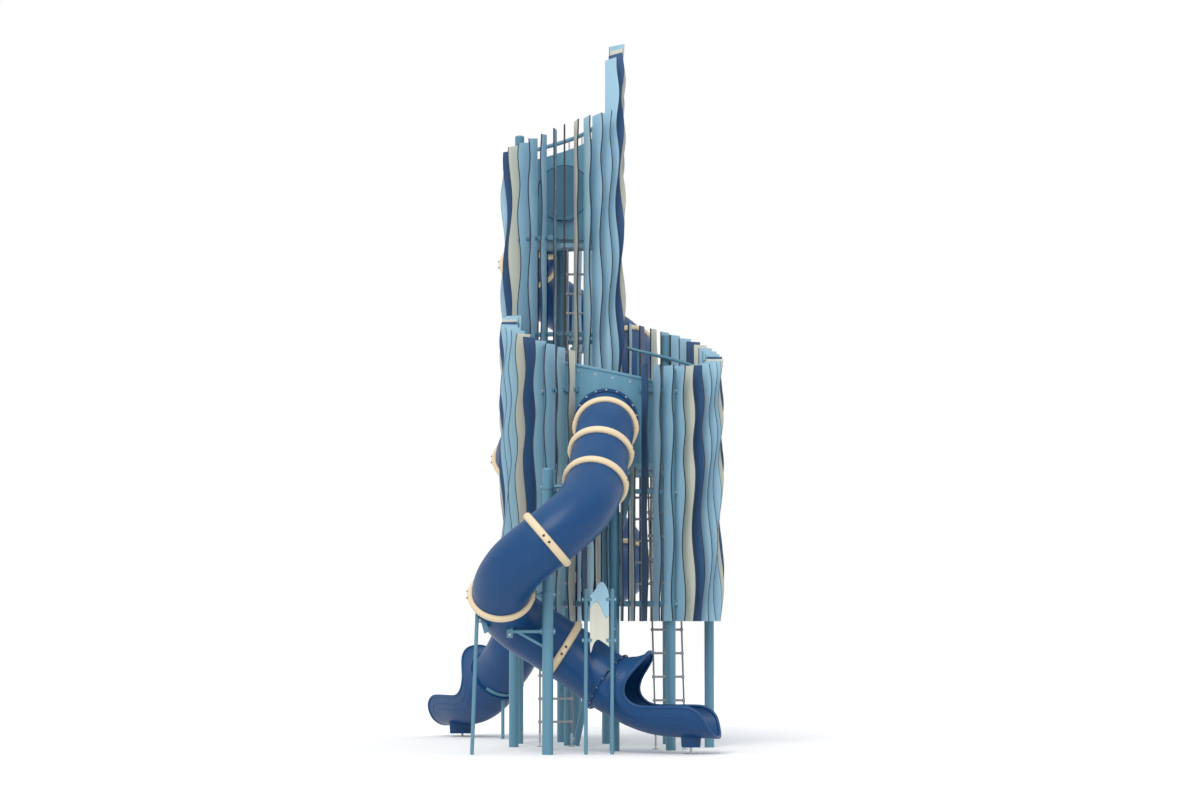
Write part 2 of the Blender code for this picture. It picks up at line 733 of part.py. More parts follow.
def rope_ladder(name, foot, top, across, first, step, rungs):
    """Two ropes, or thin rails, with rungs across them."""
    foot, top, half = place(*foot), place(*top), Vector(across) / 2
    low = foot + Vector((0, 0, 0.006 if foot.z < 0.01 else 0.0))
    ropes = [rod(low + half * k, top + half * k, 0.012, 6) for k in (-1, 1)]
    bars = []
    for i in range(rungs):
        z = first + step * i
        centre = foot + (top - foot) * (z - foot.z) / (top.z - foot.z)
        bars.append(rod(centre - half * 1.1, centre + half * 1.1, 0.015, 4))
    plates = []
    if foot.z < 0.01:
        for k in (-1, 1):
            plates.append(post_prism(foot + half * k, 0.0, 0.012, 0.045))
    return finish(union(ropes + bars + plates), name, GREY, 0.8)


def collar_core(samples, index):
    """The solid that a collar fills, with the usual gap round it."""
    reach = COLLAR_WIDE / 2 + GAP
    ends = [shifted(samples[index], -reach), shifted(samples[index], reach)]
    return sweep(ends, TUBE_R + COLLAR_DEEP + GAP, TUBE_SIDES)


def slide_post(name, x, y, top, samples, collars):
    """A post in the middle of a turn, with an arm out to each collar."""
    column = post(place(x, y), top, SLIDE_POST_R)
    arms, cores = [], []
    for index in collars:
        centre = samples[index][0]
        arms.append(rod((place(x, y).x, place(x, y).y, centre.z), centre, ARM_R, 8))
        cores.append(collar_core(samples, index))
        cores.append(sweep(samples[index - 2:index + 3], TUBE_R + GAP, TUBE_SIDES))
    return finish(cut(union([column] + arms), cores), name, TEAL, 0.4, 0.3)


def exit_foot(name, seam_sample):
    """A block under an exit, shaped to it."""
    seam, along = seam_sample
    forward = Vector((along.x, along.y, 0.0)).normalized()
    side = Vector((-forward.y, forward.x, 0.0))
    centre = Vector((seam.x, seam.y, 0.0)) + forward * FOOT_AT
    corners = [(-1, -1), (1, -1), (1, 1), (-1, 1)]
    outline = [centre + forward * FOOT_HALF[0] * a + side * FOOT_HALF[1] * b for a, b in corners]
    block = extrude_outline(outline, (0, 0, 0.40))
    base = Vector((seam.x, seam.y, 0.0))
    line = [base + forward * d + Vector((0, 0, z)) for d, z, up in EXIT_LINE[3:7]]
    samples = []
    for i in (0, 1, 2):
        before = line[i - 1] if i else base + forward * EXIT_LINE[2][0] + Vector((0, 0, EXIT_LINE[2][1]))
        samples.append((line[i], (line[i + 1] - before).normalized()))
    core = sweep(samples + [(line[3], samples[2][1])], TUBE_R + GAP, TUBE_SIDES)
    above = box(centre + Vector((-1, -1, 0.35)), centre + Vector((1, 1, 1.0)))
    return finish(cut(block, [union([core, above])]), name, NAVY, 0.5)


def exit_core(seam_sample):
    """The solids that an exit's upper end and its flange fill, with the usual gap round them."""
    seam, along = seam_sample
    forward = Vector((along.x, along.y, 0.0)).normalized()
    base = Vector((seam.x, seam.y, 0.0))
    second, third = [base + forward * d + Vector((0, 0, z)) for d, z, up in EXIT_LINE[1:3]]
    samples = [seam_sample, (second, (third - seam).normalized())]
    flange = [shifted(seam_sample, -0.02), shifted(seam_sample, FLANGE_DEEP + 2 * GAP)]
    return [sweep(samples, TUBE_R + GAP, TUBE_SIDES), sweep(flange, FLANGE_R + GAP, 18)]


def wave_plate(name, outline, clamps, colour):
    """A thin plate in the plane of the two small posts, with clamps to them."""
    points = [place(x, WAVE_Y - 0.008, z) for x, z in outline]
    pieces = [extrude_outline(points, (0, 0.016, 0))]
    reach = THIN_POST_R + GAP
    for x, z in clamps:
        edge = WAVE_LEFT + reach if x < (WAVE_LEFT + WAVE_RIGHT) / 2 else WAVE_RIGHT - reach
        low, high = min(x, edge), max(x, edge)
        pieces.append(box(place(low, WAVE_Y - 0.018, z - 0.020), place(high, WAVE_Y + 0.018, z + 0.020)))
    return finish(union(pieces), name, colour, 0.5)


def build_play_panel():
    finish(post(place(WAVE_LEFT, WAVE_Y), WAVE_POST_TOP, THIN_POST_R), "wave_post_left", TEAL, 0.4, 0.3)
    tower_post = on_ring(SHORT_POSTS["short_post_front"], SHORT_POST_RING)
    arm = rod(place(WAVE_RIGHT, WAVE_Y, WAVE_ARM_Z), (tower_post.x, tower_post.y, WAVE_ARM_Z), 0.018, 8)
    column = union([post(place(WAVE_RIGHT, WAVE_Y), WAVE_POST_TOP, THIN_POST_R), arm])
    finish(cut(column, [post_prism(tower_post, 1.0, 2.0, POST_R + GAP)]), "wave_post_right", TEAL, 0.4, 0.3)
    left, right = WAVE_LEFT + 0.050, WAVE_RIGHT - 0.040
    seam = []
    for i in range(9):
        t = i / 8
        seam.append((left + (right - left) * t, 1.80 - 0.02 * t + 0.10 * sin(2 * pi * (t - 0.02))))
    top = [(right, 2.00), (right - 0.045, 2.12), (right - 0.09, 2.15), (right - 0.14, 2.10), (left, 2.01)]
    wave_plate("wave_panel_blue", seam + top, ((left + 0.02, 1.93), (right - 0.02, 1.95)), LIGHT_BLUE)
    under = [(x, z - GAP * 2) for x, z in reversed(seam)]
    foot = [(left, 1.25), (left + 0.05, 1.36), (left + 0.11, 1.42), (right - 0.05, 1.38), (right, 1.33)]
    wave_plate("wave_panel_tan", under + foot, ((left + 0.02, 1.50), (right - 0.02, 1.50)), TAN)


def build_small_parts():
    slide_post("front_slide_post", SLIDE_POST_X, SLIDE_POST_Y, SLIDE_POST_TOP, FRONT_ROUTE, (6, 10, 14))
    rear = REAR_ROUTE
    slide_post("rear_slide_post", HELIX_X, HELIX_Y, REAR_POST_TOP, rear, REAR_COLLARS[1:])
    exit_foot("front_exit_foot", FRONT_ROUTE[-1])
    exit_foot("rear_exit_foot", rear[-1])

    prop = rod(place(SUPPORT_X - SUPPORT_LEAN, SLIDE_POST_Y, 0.0), place(SUPPORT_X, SLIDE_POST_Y, 1.95), THIN_POST_R, 12)
    flat = box(place(-3, -4, -1.0), place(0, 0, 0.0))
    finish(cut(prop, [collar_core(FRONT_ROUTE, 14), sweep(FRONT_ROUTE[12:17], TUBE_R + GAP, TUBE_SIDES), flat]),
           "front_slide_prop", TEAL, 0.4, 0.3)
    end = rear[-2][0]
    prop = rod((end.x, end.y, 0.0), (end.x, end.y, end.z), THIN_POST_R, 12)
    above = [sweep(rear[-6:], TUBE_R + GAP, TUBE_SIDES)] + exit_core(rear[-1])
    finish(cut(prop, above), "rear_slide_prop", TEAL, 0.4, 0.3)

    deck_under = MAIN_DECK_TOP - DECK_THICK - 3 * GAP
    rope_ladder("front_right_ladder", (0.76, -0.76, 0.0), (0.66, -0.76, deck_under), (0.38, 0, 0), 0.33, 0.305, 11)
    rope_ladder("rear_left_ladder", (-0.74, 0.10, 0.0), (-0.74, 0.10, deck_under), (0.42, 0, 0), 0.33, 0.305, 11)
    rope_ladder("tall_ladder", (-0.48, 1.30, MAIN_DECK_TOP + GAP), (-0.48, 1.30, TALL_DECK_TOP - DECK_THICK - GAP),
                (0.24, 0, 0), 4.0, 0.27, 10)
    low, high = STRUT_FOOT, STRUT_HEAD
    lean = Vector((high[0] - low[0], 0, high[2] - low[2])).normalized() * 0.05
    leaning = rod(place(*low) - lean, place(*high) + lean, STRUT_R, 12)
    floor = box(place(low[0] - 1, low[1] - 1, -1.0), place(low[0] + 1, low[1] + 1, 0.0))
    under = box(place(high[0] - 1, high[1] - 1, high[2]), place(high[0] + 1, high[1] + 1, high[2] + 1.0))
    finish(cut(leaning, [floor, under]), "leaning_strut", TEAL, 0.4, 0.3)
    build_play_panel()


def main():
    clear_scene()
    build_short_tower()
    build_tall_tower()
    build_floors_and_panels()
    build_front_slide()
    build_rear_slide()
    build_small_parts()


FRONT_ROUTE = route(FRONT_POINTS, 2, (0, -1, 0))
REAR_ROUTE = route(rear_points(), 2, (0, 1, 0))

main()
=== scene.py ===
# %% [markdown]
# # A playground play structure, dressed for its picture
# The CAD model already has the right sizes. This lesson loads it as a fixed frame and puts the looks
# around it: boards with wavy edges, smooth slide tubes, ropes, bolts and painted steel. Every piece
# is made in metres, in the CAD's own coordinates, so nothing has to be fitted by hand.

# %% The frame
from math import asin, atan2, cos, degrees, pi, radians, sin, sqrt

import bmesh
import bpy
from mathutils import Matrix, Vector


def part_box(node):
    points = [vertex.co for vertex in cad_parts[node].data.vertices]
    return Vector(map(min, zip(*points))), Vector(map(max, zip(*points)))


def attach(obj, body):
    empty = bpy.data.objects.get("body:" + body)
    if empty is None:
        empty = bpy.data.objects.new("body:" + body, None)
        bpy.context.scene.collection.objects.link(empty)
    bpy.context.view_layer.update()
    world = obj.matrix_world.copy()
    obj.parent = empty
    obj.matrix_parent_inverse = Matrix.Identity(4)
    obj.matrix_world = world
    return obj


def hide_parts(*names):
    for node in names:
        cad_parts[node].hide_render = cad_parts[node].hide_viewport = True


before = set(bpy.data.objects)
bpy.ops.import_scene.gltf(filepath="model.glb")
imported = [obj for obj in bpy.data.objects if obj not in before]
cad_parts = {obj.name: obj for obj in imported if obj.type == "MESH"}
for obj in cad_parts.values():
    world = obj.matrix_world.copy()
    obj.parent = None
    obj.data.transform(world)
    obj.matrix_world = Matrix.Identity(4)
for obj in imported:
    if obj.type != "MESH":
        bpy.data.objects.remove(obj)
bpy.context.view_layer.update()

# %% [markdown]
# ## Where things stand
# The short tower's middle is measured from the CAD: its left post stands 1.293 m to the left of it.
# All other places are given from that middle, as on a plan drawing.

# %% The plan
POST_RING = 1.293
left_low, left_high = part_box("short_post_left")
SHORT_MIDDLE = (left_low + left_high) / 2 + Vector((POST_RING, 0, 0))
SHORT_MIDDLE.z = 0.0
TALL_OFFSET = Vector((-0.66, 1.15, 0))
MAIN_FLOOR, UPPER_FLOOR = 3.70, 6.88
FLOOR_THICK = 0.08
UNDER_DECK = MAIN_FLOOR - FLOOR_THICK
UP, TO_VIEWER = Vector((0, 0, 1)), Vector((0, -1, 0))


def place(x, y, z=0.0):
    """A point given from the short tower's middle."""
    return SHORT_MIDDLE + Vector((x, y, z))


def on_ring(angle, radius, z=0.0, offset=Vector()):
    """Angle 0 faces the viewer, 90 points right."""
    turn = radians(angle)
    return place(radius * sin(turn), -radius * cos(turn), z) + offset


def ring_ways(angle):
    """The way out of the ring at an angle, and the way along it."""
    out = on_ring(angle, 1.0) - on_ring(angle, 0.0)
    across = on_ring(angle + 90.0, 1.0) - on_ring(angle + 90.0, 0.0)
    return out, across


def at_level(where, z):
    return Vector((where.x, where.y, z))


def middle_of(node):
    low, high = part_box(node)
    return (low + high) / 2


# %% [markdown]
# ## A helper that collects rings and faces
# Most pieces here are rings of points joined by faces: posts, tubes, boards, rods. One small class
# gathers them into a mesh with several materials. Edges sharper than 35 degrees are marked sharp
# afterwards, so round sides stay smooth while caps and corners stay crisp.


# %% The shape helper
class Shape:
    def __init__(self):
        self.points, self.faces, self.looks = [], [], []

    def face(self, corners, look=0):
        self.faces.append(tuple(corners))
        self.looks.append(look)

    def ring(self, points):
        start = len(self.points)
        self.points += [tuple(p) for p in points]
        return list(range(start, start + len(points)))

    def join(self, a, b, look=0):
        """Faces from one ring to the next. look may be a list with one for each side."""
        for i in range(len(a)):
            j = (i + 1) % len(a)
            self.face((a[i], a[j], b[j], b[i]), look[i] if isinstance(look, list) else look)

    def skin(self, rings, look=0, caps=True, looped=False):
        """Joins rings of equal length. looped joins the last ring to the first."""
        made = [self.ring(points) for points in rings]
        for a, b in zip(made, made[1:]):
            self.join(a, b, look)
        if looped:
            self.join(made[-1], made[0], look)
        elif caps:
            self.face(reversed(made[0]), look)
            self.face(made[-1], look)

    def rod(self, start, end, radius, look=0, sides=16, soft=0.12):
        """A round bar with slightly softened ends."""
        start, end = Vector(start), Vector(end)
        along = (end - start).normalized()
        cut_back = min(radius * soft, (end - start).length / 4)
        levels = [(start, radius - cut_back), (start + along * cut_back, radius),
                  (end - along * cut_back, radius), (end, radius - cut_back)]
        self.skin([circle(where, along, r, sides) for where, r in levels], look)

    def block(self, middle, x_way, y_way, z_way, look=0):
        """A box from its middle and its three half ways."""
        rings = []
        for s in (-1, 1):
            rings.append([middle + z_way * s + x_way * a + y_way * b
                          for a, b in ((-1, -1), (1, -1), (1, 1), (-1, 1))])
        self.skin(rings, look)

    def bolt(self, where, out, radius=0.011, look=0):
        """A washer with a low round head on it."""
        out = out.normalized()
        levels = [(0.0, 1.7), (0.003, 1.7), (0.003, 1.0), (0.009, 0.95), (0.012, 0.5)]
        self.skin([circle(where + out * up, out, radius * k, 10) for up, k in levels], look)

    def mesh(self, name):
        """The mesh, with all faces turned outwards."""
        made = bpy.data.meshes.new(name)
        made.from_pydata(self.points, [], self.faces)
        made.validate()
        if len(made.polygons) == len(self.looks):
            made.polygons.foreach_set("material_index", self.looks)
        work = bmesh.new()
        work.from_mesh(made)
        bmesh.ops.recalc_face_normals(work, faces=work.faces)
        work.to_mesh(made)
        work.free()
        return made

    def make(self, name, looks, hides=()):
        mesh = self.mesh(name)
        for look in looks:
            mesh.materials.append(look)
        mesh.shade_smooth()
        mesh.set_sharp_from_angle(angle=radians(35))
        made = bpy.data.objects.new(name, mesh)
        bpy.context.scene.collection.objects.link(made)
        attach(made, "root")
        if hides:
            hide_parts(*hides)
        print(name, len(mesh.polygons), "faces")
        return made


def circle(where, along, radius, sides, upright=1.0):
    """Points of a circle across a direction. upright stretches its upper half."""
    side = along.cross(UP)
    side = side.normalized() if side.length > 1e-6 else Vector((1, 0, 0))
    up = side.cross(along).normalized()
    points = []
    for i in range(sides):
        turn = 2 * pi * (i + 0.5) / sides
        lift = radius * sin(turn) * (upright if sin(turn) > 0 else 1.0)
        points.append(where + side * (radius * cos(turn)) + up * lift)
    return points


# %% [markdown]
# ## Effects that several materials share
# Weather touches every surface: upright streaks where rain runs and a fine grain in the plastic board.
# Whatever faces up gets a paler colour, partly settled dust and partly painted top light. Each effect
# is one node group with named inputs and outputs, so a change in one place shows everywhere.


# %% Node helpers
def new_group(name, inputs, outputs):
    tree = bpy.data.node_groups.new(name, "ShaderNodeTree")
    for label, value in inputs:
        socket = tree.interface.new_socket(label, in_out="INPUT", socket_type="NodeSocketFloat")
        socket.default_value = value
    for label in outputs:
        tree.interface.new_socket(label, in_out="OUTPUT", socket_type="NodeSocketFloat")
    return tree, tree.nodes.new("NodeGroupInput"), tree.nodes.new("NodeGroupOutput")


def feed(tree, value, socket):
    """Links an output to the socket, or sets the socket to a plain value."""
    if isinstance(value, bpy.types.NodeSocket):
        tree.links.new(value, socket)
    else:
        socket.default_value = value


def math_node(tree, kind, a, b, clamp=False):
    node = tree.nodes.new("ShaderNodeMath")
    node.operation = kind
    node.use_clamp = clamp
    feed(tree, a, node.inputs[0])
    feed(tree, b, node.inputs[1])
    return node.outputs[0]


def noise(tree, stretch, scale, detail):
    """Noise in metres, stretched along the axes."""
    where = tree.nodes.new("ShaderNodeTexCoord")
    sized = tree.nodes.new("ShaderNodeMapping")
    sized.inputs["Scale"].default_value = stretch
    made = tree.nodes.new("ShaderNodeTexNoise")
    made.inputs["Detail"].default_value = detail
    tree.links.new(where.outputs["Object"], sized.inputs["Vector"])
    tree.links.new(sized.outputs["Vector"], made.inputs["Vector"])
    feed(tree, scale, made.inputs["Scale"])
    return made.outputs["Fac"]


def spread(tree, value, low, high):
    """Stretches a value so that low becomes 0 and high becomes 1."""
    node = tree.nodes.new("ShaderNodeMapRange")
    node.inputs["From Min"].default_value = low
    node.inputs["From Max"].default_value = high
    tree.links.new(value, node.inputs["Value"])
    return node.outputs["Result"]


# %% Rain streaks
streaks, source, sink = new_group("Rain streaks", [("Scale", 9.0), ("Amount", 0.5)], ["Mask"])
running = noise(streaks, (1.0, 1.0, 0.07), source.outputs["Scale"], 6.0)
patchy = noise(streaks, (1.0, 1.0, 0.35), 1.3, 2.0)
streaky = spread(streaks, running, 0.42, 0.66)
mask = math_node(streaks, "MULTIPLY", streaky, spread(streaks, patchy, 0.38, 0.62))
streaks.links.new(math_node(streaks, "MULTIPLY", mask, source.outputs["Amount"], True), sink.inputs["Mask"])

# %% Fine grain
grain, source, sink = new_group("Fine grain", [("Scale", 160.0), ("Amount", 1.0)], ["Value", "Height"])
fine = noise(grain, (1.0, 1.0, 1.0), source.outputs["Scale"], 5.0)
centred = math_node(grain, "MULTIPLY", math_node(grain, "SUBTRACT", fine, 0.5), source.outputs["Amount"])
grain.links.new(math_node(grain, "ADD", centred, 0.5, True), sink.inputs["Value"])
grain.links.new(math_node(grain, "MULTIPLY", fine, source.outputs["Amount"]), sink.inputs["Height"])

# %% Dust and painted top light
# Faces that point up are made paler: partly settled dust, partly painted top light where the light falls.
dust_and_top_light, source, sink = new_group("Dust and painted top light", [("Amount", 0.6), ("From", 0.1), ("To", 0.95)], ["Mask"])
facing = dust_and_top_light.nodes.new("ShaderNodeNewGeometry")
parts = dust_and_top_light.nodes.new("ShaderNodeSeparateXYZ")
dust_and_top_light.links.new(facing.outputs["Normal"], parts.inputs["Vector"])
upward = dust_and_top_light.nodes.new("ShaderNodeMapRange")
upward.interpolation_type = "SMOOTHSTEP"
dust_and_top_light.links.new(parts.outputs["Z"], upward.inputs["Value"])
dust_and_top_light.links.new(source.outputs["From"], upward.inputs["From Min"])
dust_and_top_light.links.new(source.outputs["To"], upward.inputs["From Max"])
cloudy = spread(dust_and_top_light, noise(dust_and_top_light, (1.0, 1.0, 1.0), 2.6, 7.0), 0.20, 0.62)
speckled = math_node(dust_and_top_light, "MULTIPLY", upward.outputs["Result"], cloudy)
dust_and_top_light.links.new(math_node(dust_and_top_light, "MULTIPLY", speckled, source.outputs["Amount"], True), sink.inputs["Mask"])

# %% [markdown]
# ## One recipe for all the outdoor finishes
# Painted steel, board and moulded plastic differ in colour, gloss and grain, but weather works on
# them in the same way. So one function lays the shared effects over a base colour: streaks darken
# or pale it, a paler tint (partly dust, partly painted top light) lies on top, and grain feeds a gentle bump.
# Each finish passes its own values.


# %% The outdoor recipe
GRAIN_DARKENS, GRAIN_HEIGHT = 0.86, 0.002
DUST_ROUGHENS = 0.35


def mix_colour(tree, amount, under, over):
    node = tree.nodes.new("ShaderNodeMix")
    node.data_type = "RGBA"
    feed(tree, amount, node.inputs["Factor"])
    for label, value in (("A", under), ("B", over)):
        feed(tree, (*value, 1.0) if isinstance(value, tuple) else value, node.inputs[label])
    return node.outputs["Result"]


def use(tree, group, **values):
    node = tree.nodes.new("ShaderNodeGroup")
    node.node_tree = group
    for label, value in values.items():
        node.inputs[label].default_value = value
    return node


def outdoor(name, colour, streaked, dust_and_top_light_colour, rough, coat=0.0, streak=0.4, dust_and_top_light_amount=0.4, grain_scale=160.0,
            bump=0.1, metal=0.0, dust_and_top_light_from=0.1, shine=0.5, glow=None):
    """glow is a painted glow: an emission colour that brightens the surface in place of light coming through
    thin plastic.
    """
    made = bpy.data.materials.new(name)
    made.use_nodes = True
    tree = made.node_tree
    shader = tree.nodes["Principled BSDF"]
    rain = use(tree, streaks, Amount=streak)
    dust_and_top_light_mask = use(tree, dust_and_top_light, Amount=dust_and_top_light_amount, From=dust_and_top_light_from)
    fine = use(tree, grain, Scale=grain_scale)
    washed = mix_colour(tree, rain.outputs["Mask"], colour, streaked)
    darker = tuple(c * GRAIN_DARKENS for c in colour)
    grained = mix_colour(tree, spread(tree, fine.outputs["Value"], 0.35, 0.75), washed, darker)
    blend = mix_colour(tree, spread(tree, rain.outputs["Mask"], 0.0, 1.0), grained, washed)
    # Faces that point up take the paler colour: partly dust, partly painted top light.
    tree.links.new(mix_colour(tree, dust_and_top_light_mask.outputs["Mask"], blend, dust_and_top_light_colour), shader.inputs["Base Color"])
    duller = math_node(tree, "MULTIPLY", dust_and_top_light_mask.outputs["Mask"], DUST_ROUGHENS)
    tree.links.new(math_node(tree, "ADD", duller, rough, True), shader.inputs["Roughness"])
    raised = tree.nodes.new("ShaderNodeBump")
    raised.inputs["Strength"].default_value = bump
    raised.inputs["Distance"].default_value = GRAIN_HEIGHT
    tree.links.new(fine.outputs["Height"], raised.inputs["Height"])
    tree.links.new(raised.outputs["Normal"], shader.inputs["Normal"])
    if glow:
        tree.links.new(mix_colour(tree, rain.outputs["Mask"], glow, colour), shader.inputs["Emission Color"])
        shader.inputs["Emission Strength"].default_value = 1.0
    shader.inputs["Specular IOR Level"].default_value = shine
    shader.inputs["Metallic"].default_value = metal
    shader.inputs["Coat Weight"].default_value = coat
    shader.inputs["Coat Roughness"].default_value = 0.2
    return made


# %% The finishes
# Each finish's third colour is the paler tint for faces that point up: partly dust, partly painted top light.
LIGHT_BLUE = outdoor("light blue board", (0.298, 0.500, 0.630), (0.410, 0.625, 0.760), (0.49, 0.63, 0.72),
                     0.50, streak=0.7, bump=0.15)
NAVY = outdoor("navy board", (0.026, 0.080, 0.195), (0.052, 0.120, 0.265), (0.10, 0.16, 0.28), 0.50,
               streak=0.5, bump=0.15)
TAN = outdoor("tan board", (0.580, 0.590, 0.500), (0.660, 0.660, 0.560), (0.74, 0.74, 0.66), 0.55,
              streak=0.7, bump=0.15)
EDGE = outdoor("board edge", (0.012, 0.016, 0.026), (0.030, 0.036, 0.050), (0.07, 0.08, 0.10), 0.60,
               streak=0.3, bump=0.2)
TEAL = outdoor("teal powder coat", (0.082, 0.222, 0.312), (0.115, 0.262, 0.350), (0.20, 0.34, 0.42), 0.42,
               coat=0.10, streak=0.4, grain_scale=420.0, bump=0.06)
PANEL = outdoor("teal panel", (0.090, 0.240, 0.340), (0.120, 0.280, 0.385), (0.20, 0.34, 0.42), 0.48,
                streak=0.5, bump=0.12)
# The slide is made paler on every face that points up, even partly: partly dust, partly painted top light.
SLIDE = outdoor("slide plastic", (0.003, 0.050, 0.160), (0.006, 0.062, 0.182), (0.024, 0.088, 0.215), 0.40,
                coat=0.12, streak=0.5, dust_and_top_light_amount=0.50, grain_scale=60.0, bump=0.05, dust_and_top_light_from=0.0,
                shine=0.25)
# Paler colour with a painted glow for the inside of the rear slide's first run: painted light where it lies in
# shade.
PAINTED_GLOW_INSIDE = outdoor("slide plastic inside with painted glow", (0.030, 0.070, 0.110), (0.050, 0.100, 0.150),
                       (0.05, 0.09, 0.13), 0.50, glow=(0.052, 0.118, 0.165), grain_scale=60.0, bump=0.05)
CREAM = outdoor("cream plastic", (0.715, 0.575, 0.375), (0.660, 0.510, 0.300), (0.84, 0.74, 0.55), 0.45,
                streak=0.5, grain_scale=90.0, bump=0.08)
ROPE = outdoor("grey rope", (0.200, 0.195, 0.200), (0.300, 0.290, 0.290), (0.36, 0.35, 0.34), 0.85,
               grain_scale=500.0, bump=0.9)
RUNG = outdoor("grey rung plastic", (0.300, 0.300, 0.310), (0.380, 0.380, 0.380), (0.45, 0.45, 0.44), 0.50)
DARK_BOLT = outdoor("dark bolts", (0.060, 0.058, 0.055), (0.100, 0.090, 0.080), (0.16, 0.15, 0.14), 0.45,
                    metal=0.6, dust_and_top_light_amount=0.1)
ZINC = outdoor("zinc bolts", (0.520, 0.530, 0.550), (0.330, 0.330, 0.340), (0.50, 0.50, 0.50), 0.38,
               metal=1.0, dust_and_top_light_amount=0.1)
DECK = outdoor("coated deck", (0.150, 0.300, 0.390), (0.190, 0.350, 0.440), (0.30, 0.42, 0.48), 0.65,
               grain_scale=55.0, bump=0.8)
print("finishes", len(bpy.data.materials))

# %% [markdown]
# ## The posts
# Steel tube posts with domed plastic caps. The CAD has sixteen flat sides. Here each post is turned
# again with forty, with the same foot and radius, and ends in a cap with a rolled brim.


# %% Posts
POST_R, SLIDE_POST_R, THIN_POST_R = 0.0635, 0.070, 0.024
POST_SIDES = 40
CAP_HIGH = 0.036
CAP_RINGS = ((0.000, 1.015), (0.008, 1.020), (0.016, 0.990), (0.025, 0.90), (0.032, 0.72), (0.036, 0.48),
             (0.0385, 0.20))


def turned_post(shape, foot, top, radius):
    """The tube ends at top and the cap stands on it."""
    levels = [(0.0, 1.0), (top, 1.0)] + [(top + up, k) for up, k in CAP_RINGS]
    shape.skin([circle(at_level(foot, z), UP, radius * k, POST_SIDES) for z, k in levels])


SHORT_SIDES = ("left", "front_left", "front", "front_right", "right", "back")
SHORT_POSTS = ["short_post_" + side for side in SHORT_SIDES]
TALL_POSTS = ["tall_post_" + side for side in ("left", "front", "right", "back")]
SHORTER_BY = {"tall_post_left": 0.050}
for node in SHORT_POSTS + TALL_POSTS + ["wave_post_left"]:
    low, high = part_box(node)
    column = Shape()
    turned_post(column, middle_of(node), high.z - CAP_HIGH - SHORTER_BY.get(node, 0.0), (high.x - low.x) / 2)
    column.make(node.replace("post", "column"), [TEAL], [node])

# %% [markdown]
# ## The wavy boards
# Each board is a plank that stands on edge: straight towards the tower, wavy on the outside. Five
# shapes repeat round the short tower, each with its crests 0.195 m higher than the one before, so
# the crests climb round it in a spiral. The waves get longer towards the ground. The broad faces
# carry the colour and the narrow edges show the dark core, so faces get their look by where they
# lie on the section. One mesh holds a whole bank, in place of the CAD's bank.

# %% The boards
BOARD = 0.020
CHAMFER = 0.0025
STEPS_PER_METRE = 19
HOLLOW, HOLLOW_GROWS = 0.012, 0.036
BROAD_SIDES = (0, 4)
LOOKS = {"L": 0, "T": 1, "N": 2}
EDGE_LOOK = 3


def edge_at(z, crests, reach):
    """How far a board reaches out at a height. A hollow lies between two crests, deeper if it is long."""
    for low, high in zip(crests, crests[1:]):
        if low <= z < high:
            depth = HOLLOW + HOLLOW_GROWS * (high - low)
            return reach - depth * (1 - cos(2 * pi * (z - low) / (high - low))) / 2
    return reach


def board(shape, angle, r_in, r_out, low, high, look, crests, offset=Vector(), top_slope=0.0):
    """top_slope lifts the top towards the right, as one slanting cut through all the boards does."""
    out, across = ring_ways(angle)
    base = on_ring(angle, 0.0, 0.0, offset)
    half, c = BOARD / 2, CHAMFER
    count = max(4, round((high - low) * STEPS_PER_METRE))
    levels = [low, low + c] + [low + (high - low) * i / count for i in range(1, count - 1)] + [high - c, high]
    middle = (r_in + r_out) / 2
    rings = []
    for i, z in enumerate(levels):
        inset = c if i in (0, len(levels) - 1) else 0.0
        swing = edge_at(z, crests, r_out) - inset
        inner = r_in + inset
        flat = half - inset
        lift = top_slope * out.x if i >= len(levels) - 2 else 0.0
        section = ((inner + c, -flat), (swing - c, -flat), (swing, -flat + c), (swing, flat - c),
                   (swing - c, flat), (inner + c, flat), (inner, flat - c), (inner, -flat + c))
        rings.append([base + out * r + across * s + Vector((0, 0, z + lift * (r - middle)))
                      for r, s in section])
    made = [shape.ring(points) for points in rings]
    side_looks = [look if i in BROAD_SIDES else EDGE_LOOK for i in range(8)]
    for a, b in zip(made, made[1:]):
        shape.join(a, b, side_looks)
    shape.face(reversed(made[0]), EDGE_LOOK)
    shape.face(made[-1], EDGE_LOOK)


# %% The short tower's boards
SHORT_IN, SHORT_OUT = 1.267, 1.496
BOARD_FOOT = 1.66
LOW_BOARD_TOP = 3.64
SHORT_CRESTS = (-0.82, 0.56, 1.94, 3.37, 4.15, 4.98, 5.82, 6.70)
CREST_STEP = 0.195


def short_top(angle):
    """The tops follow one slanting cut, lowest at the front right."""
    return 5.42 - 0.456 * cos(radians(angle - 32.0))


def short_crests(kind):
    return [z + CREST_STEP * kind for z in SHORT_CRESTS]


def row(first, pitch, colours, kind):
    """Boards at even angles. kind is the first one's shape, and the shapes go round in fives."""
    return [(first + pitch * i, colour, (kind + i) % 5) for i, colour in enumerate(colours)]


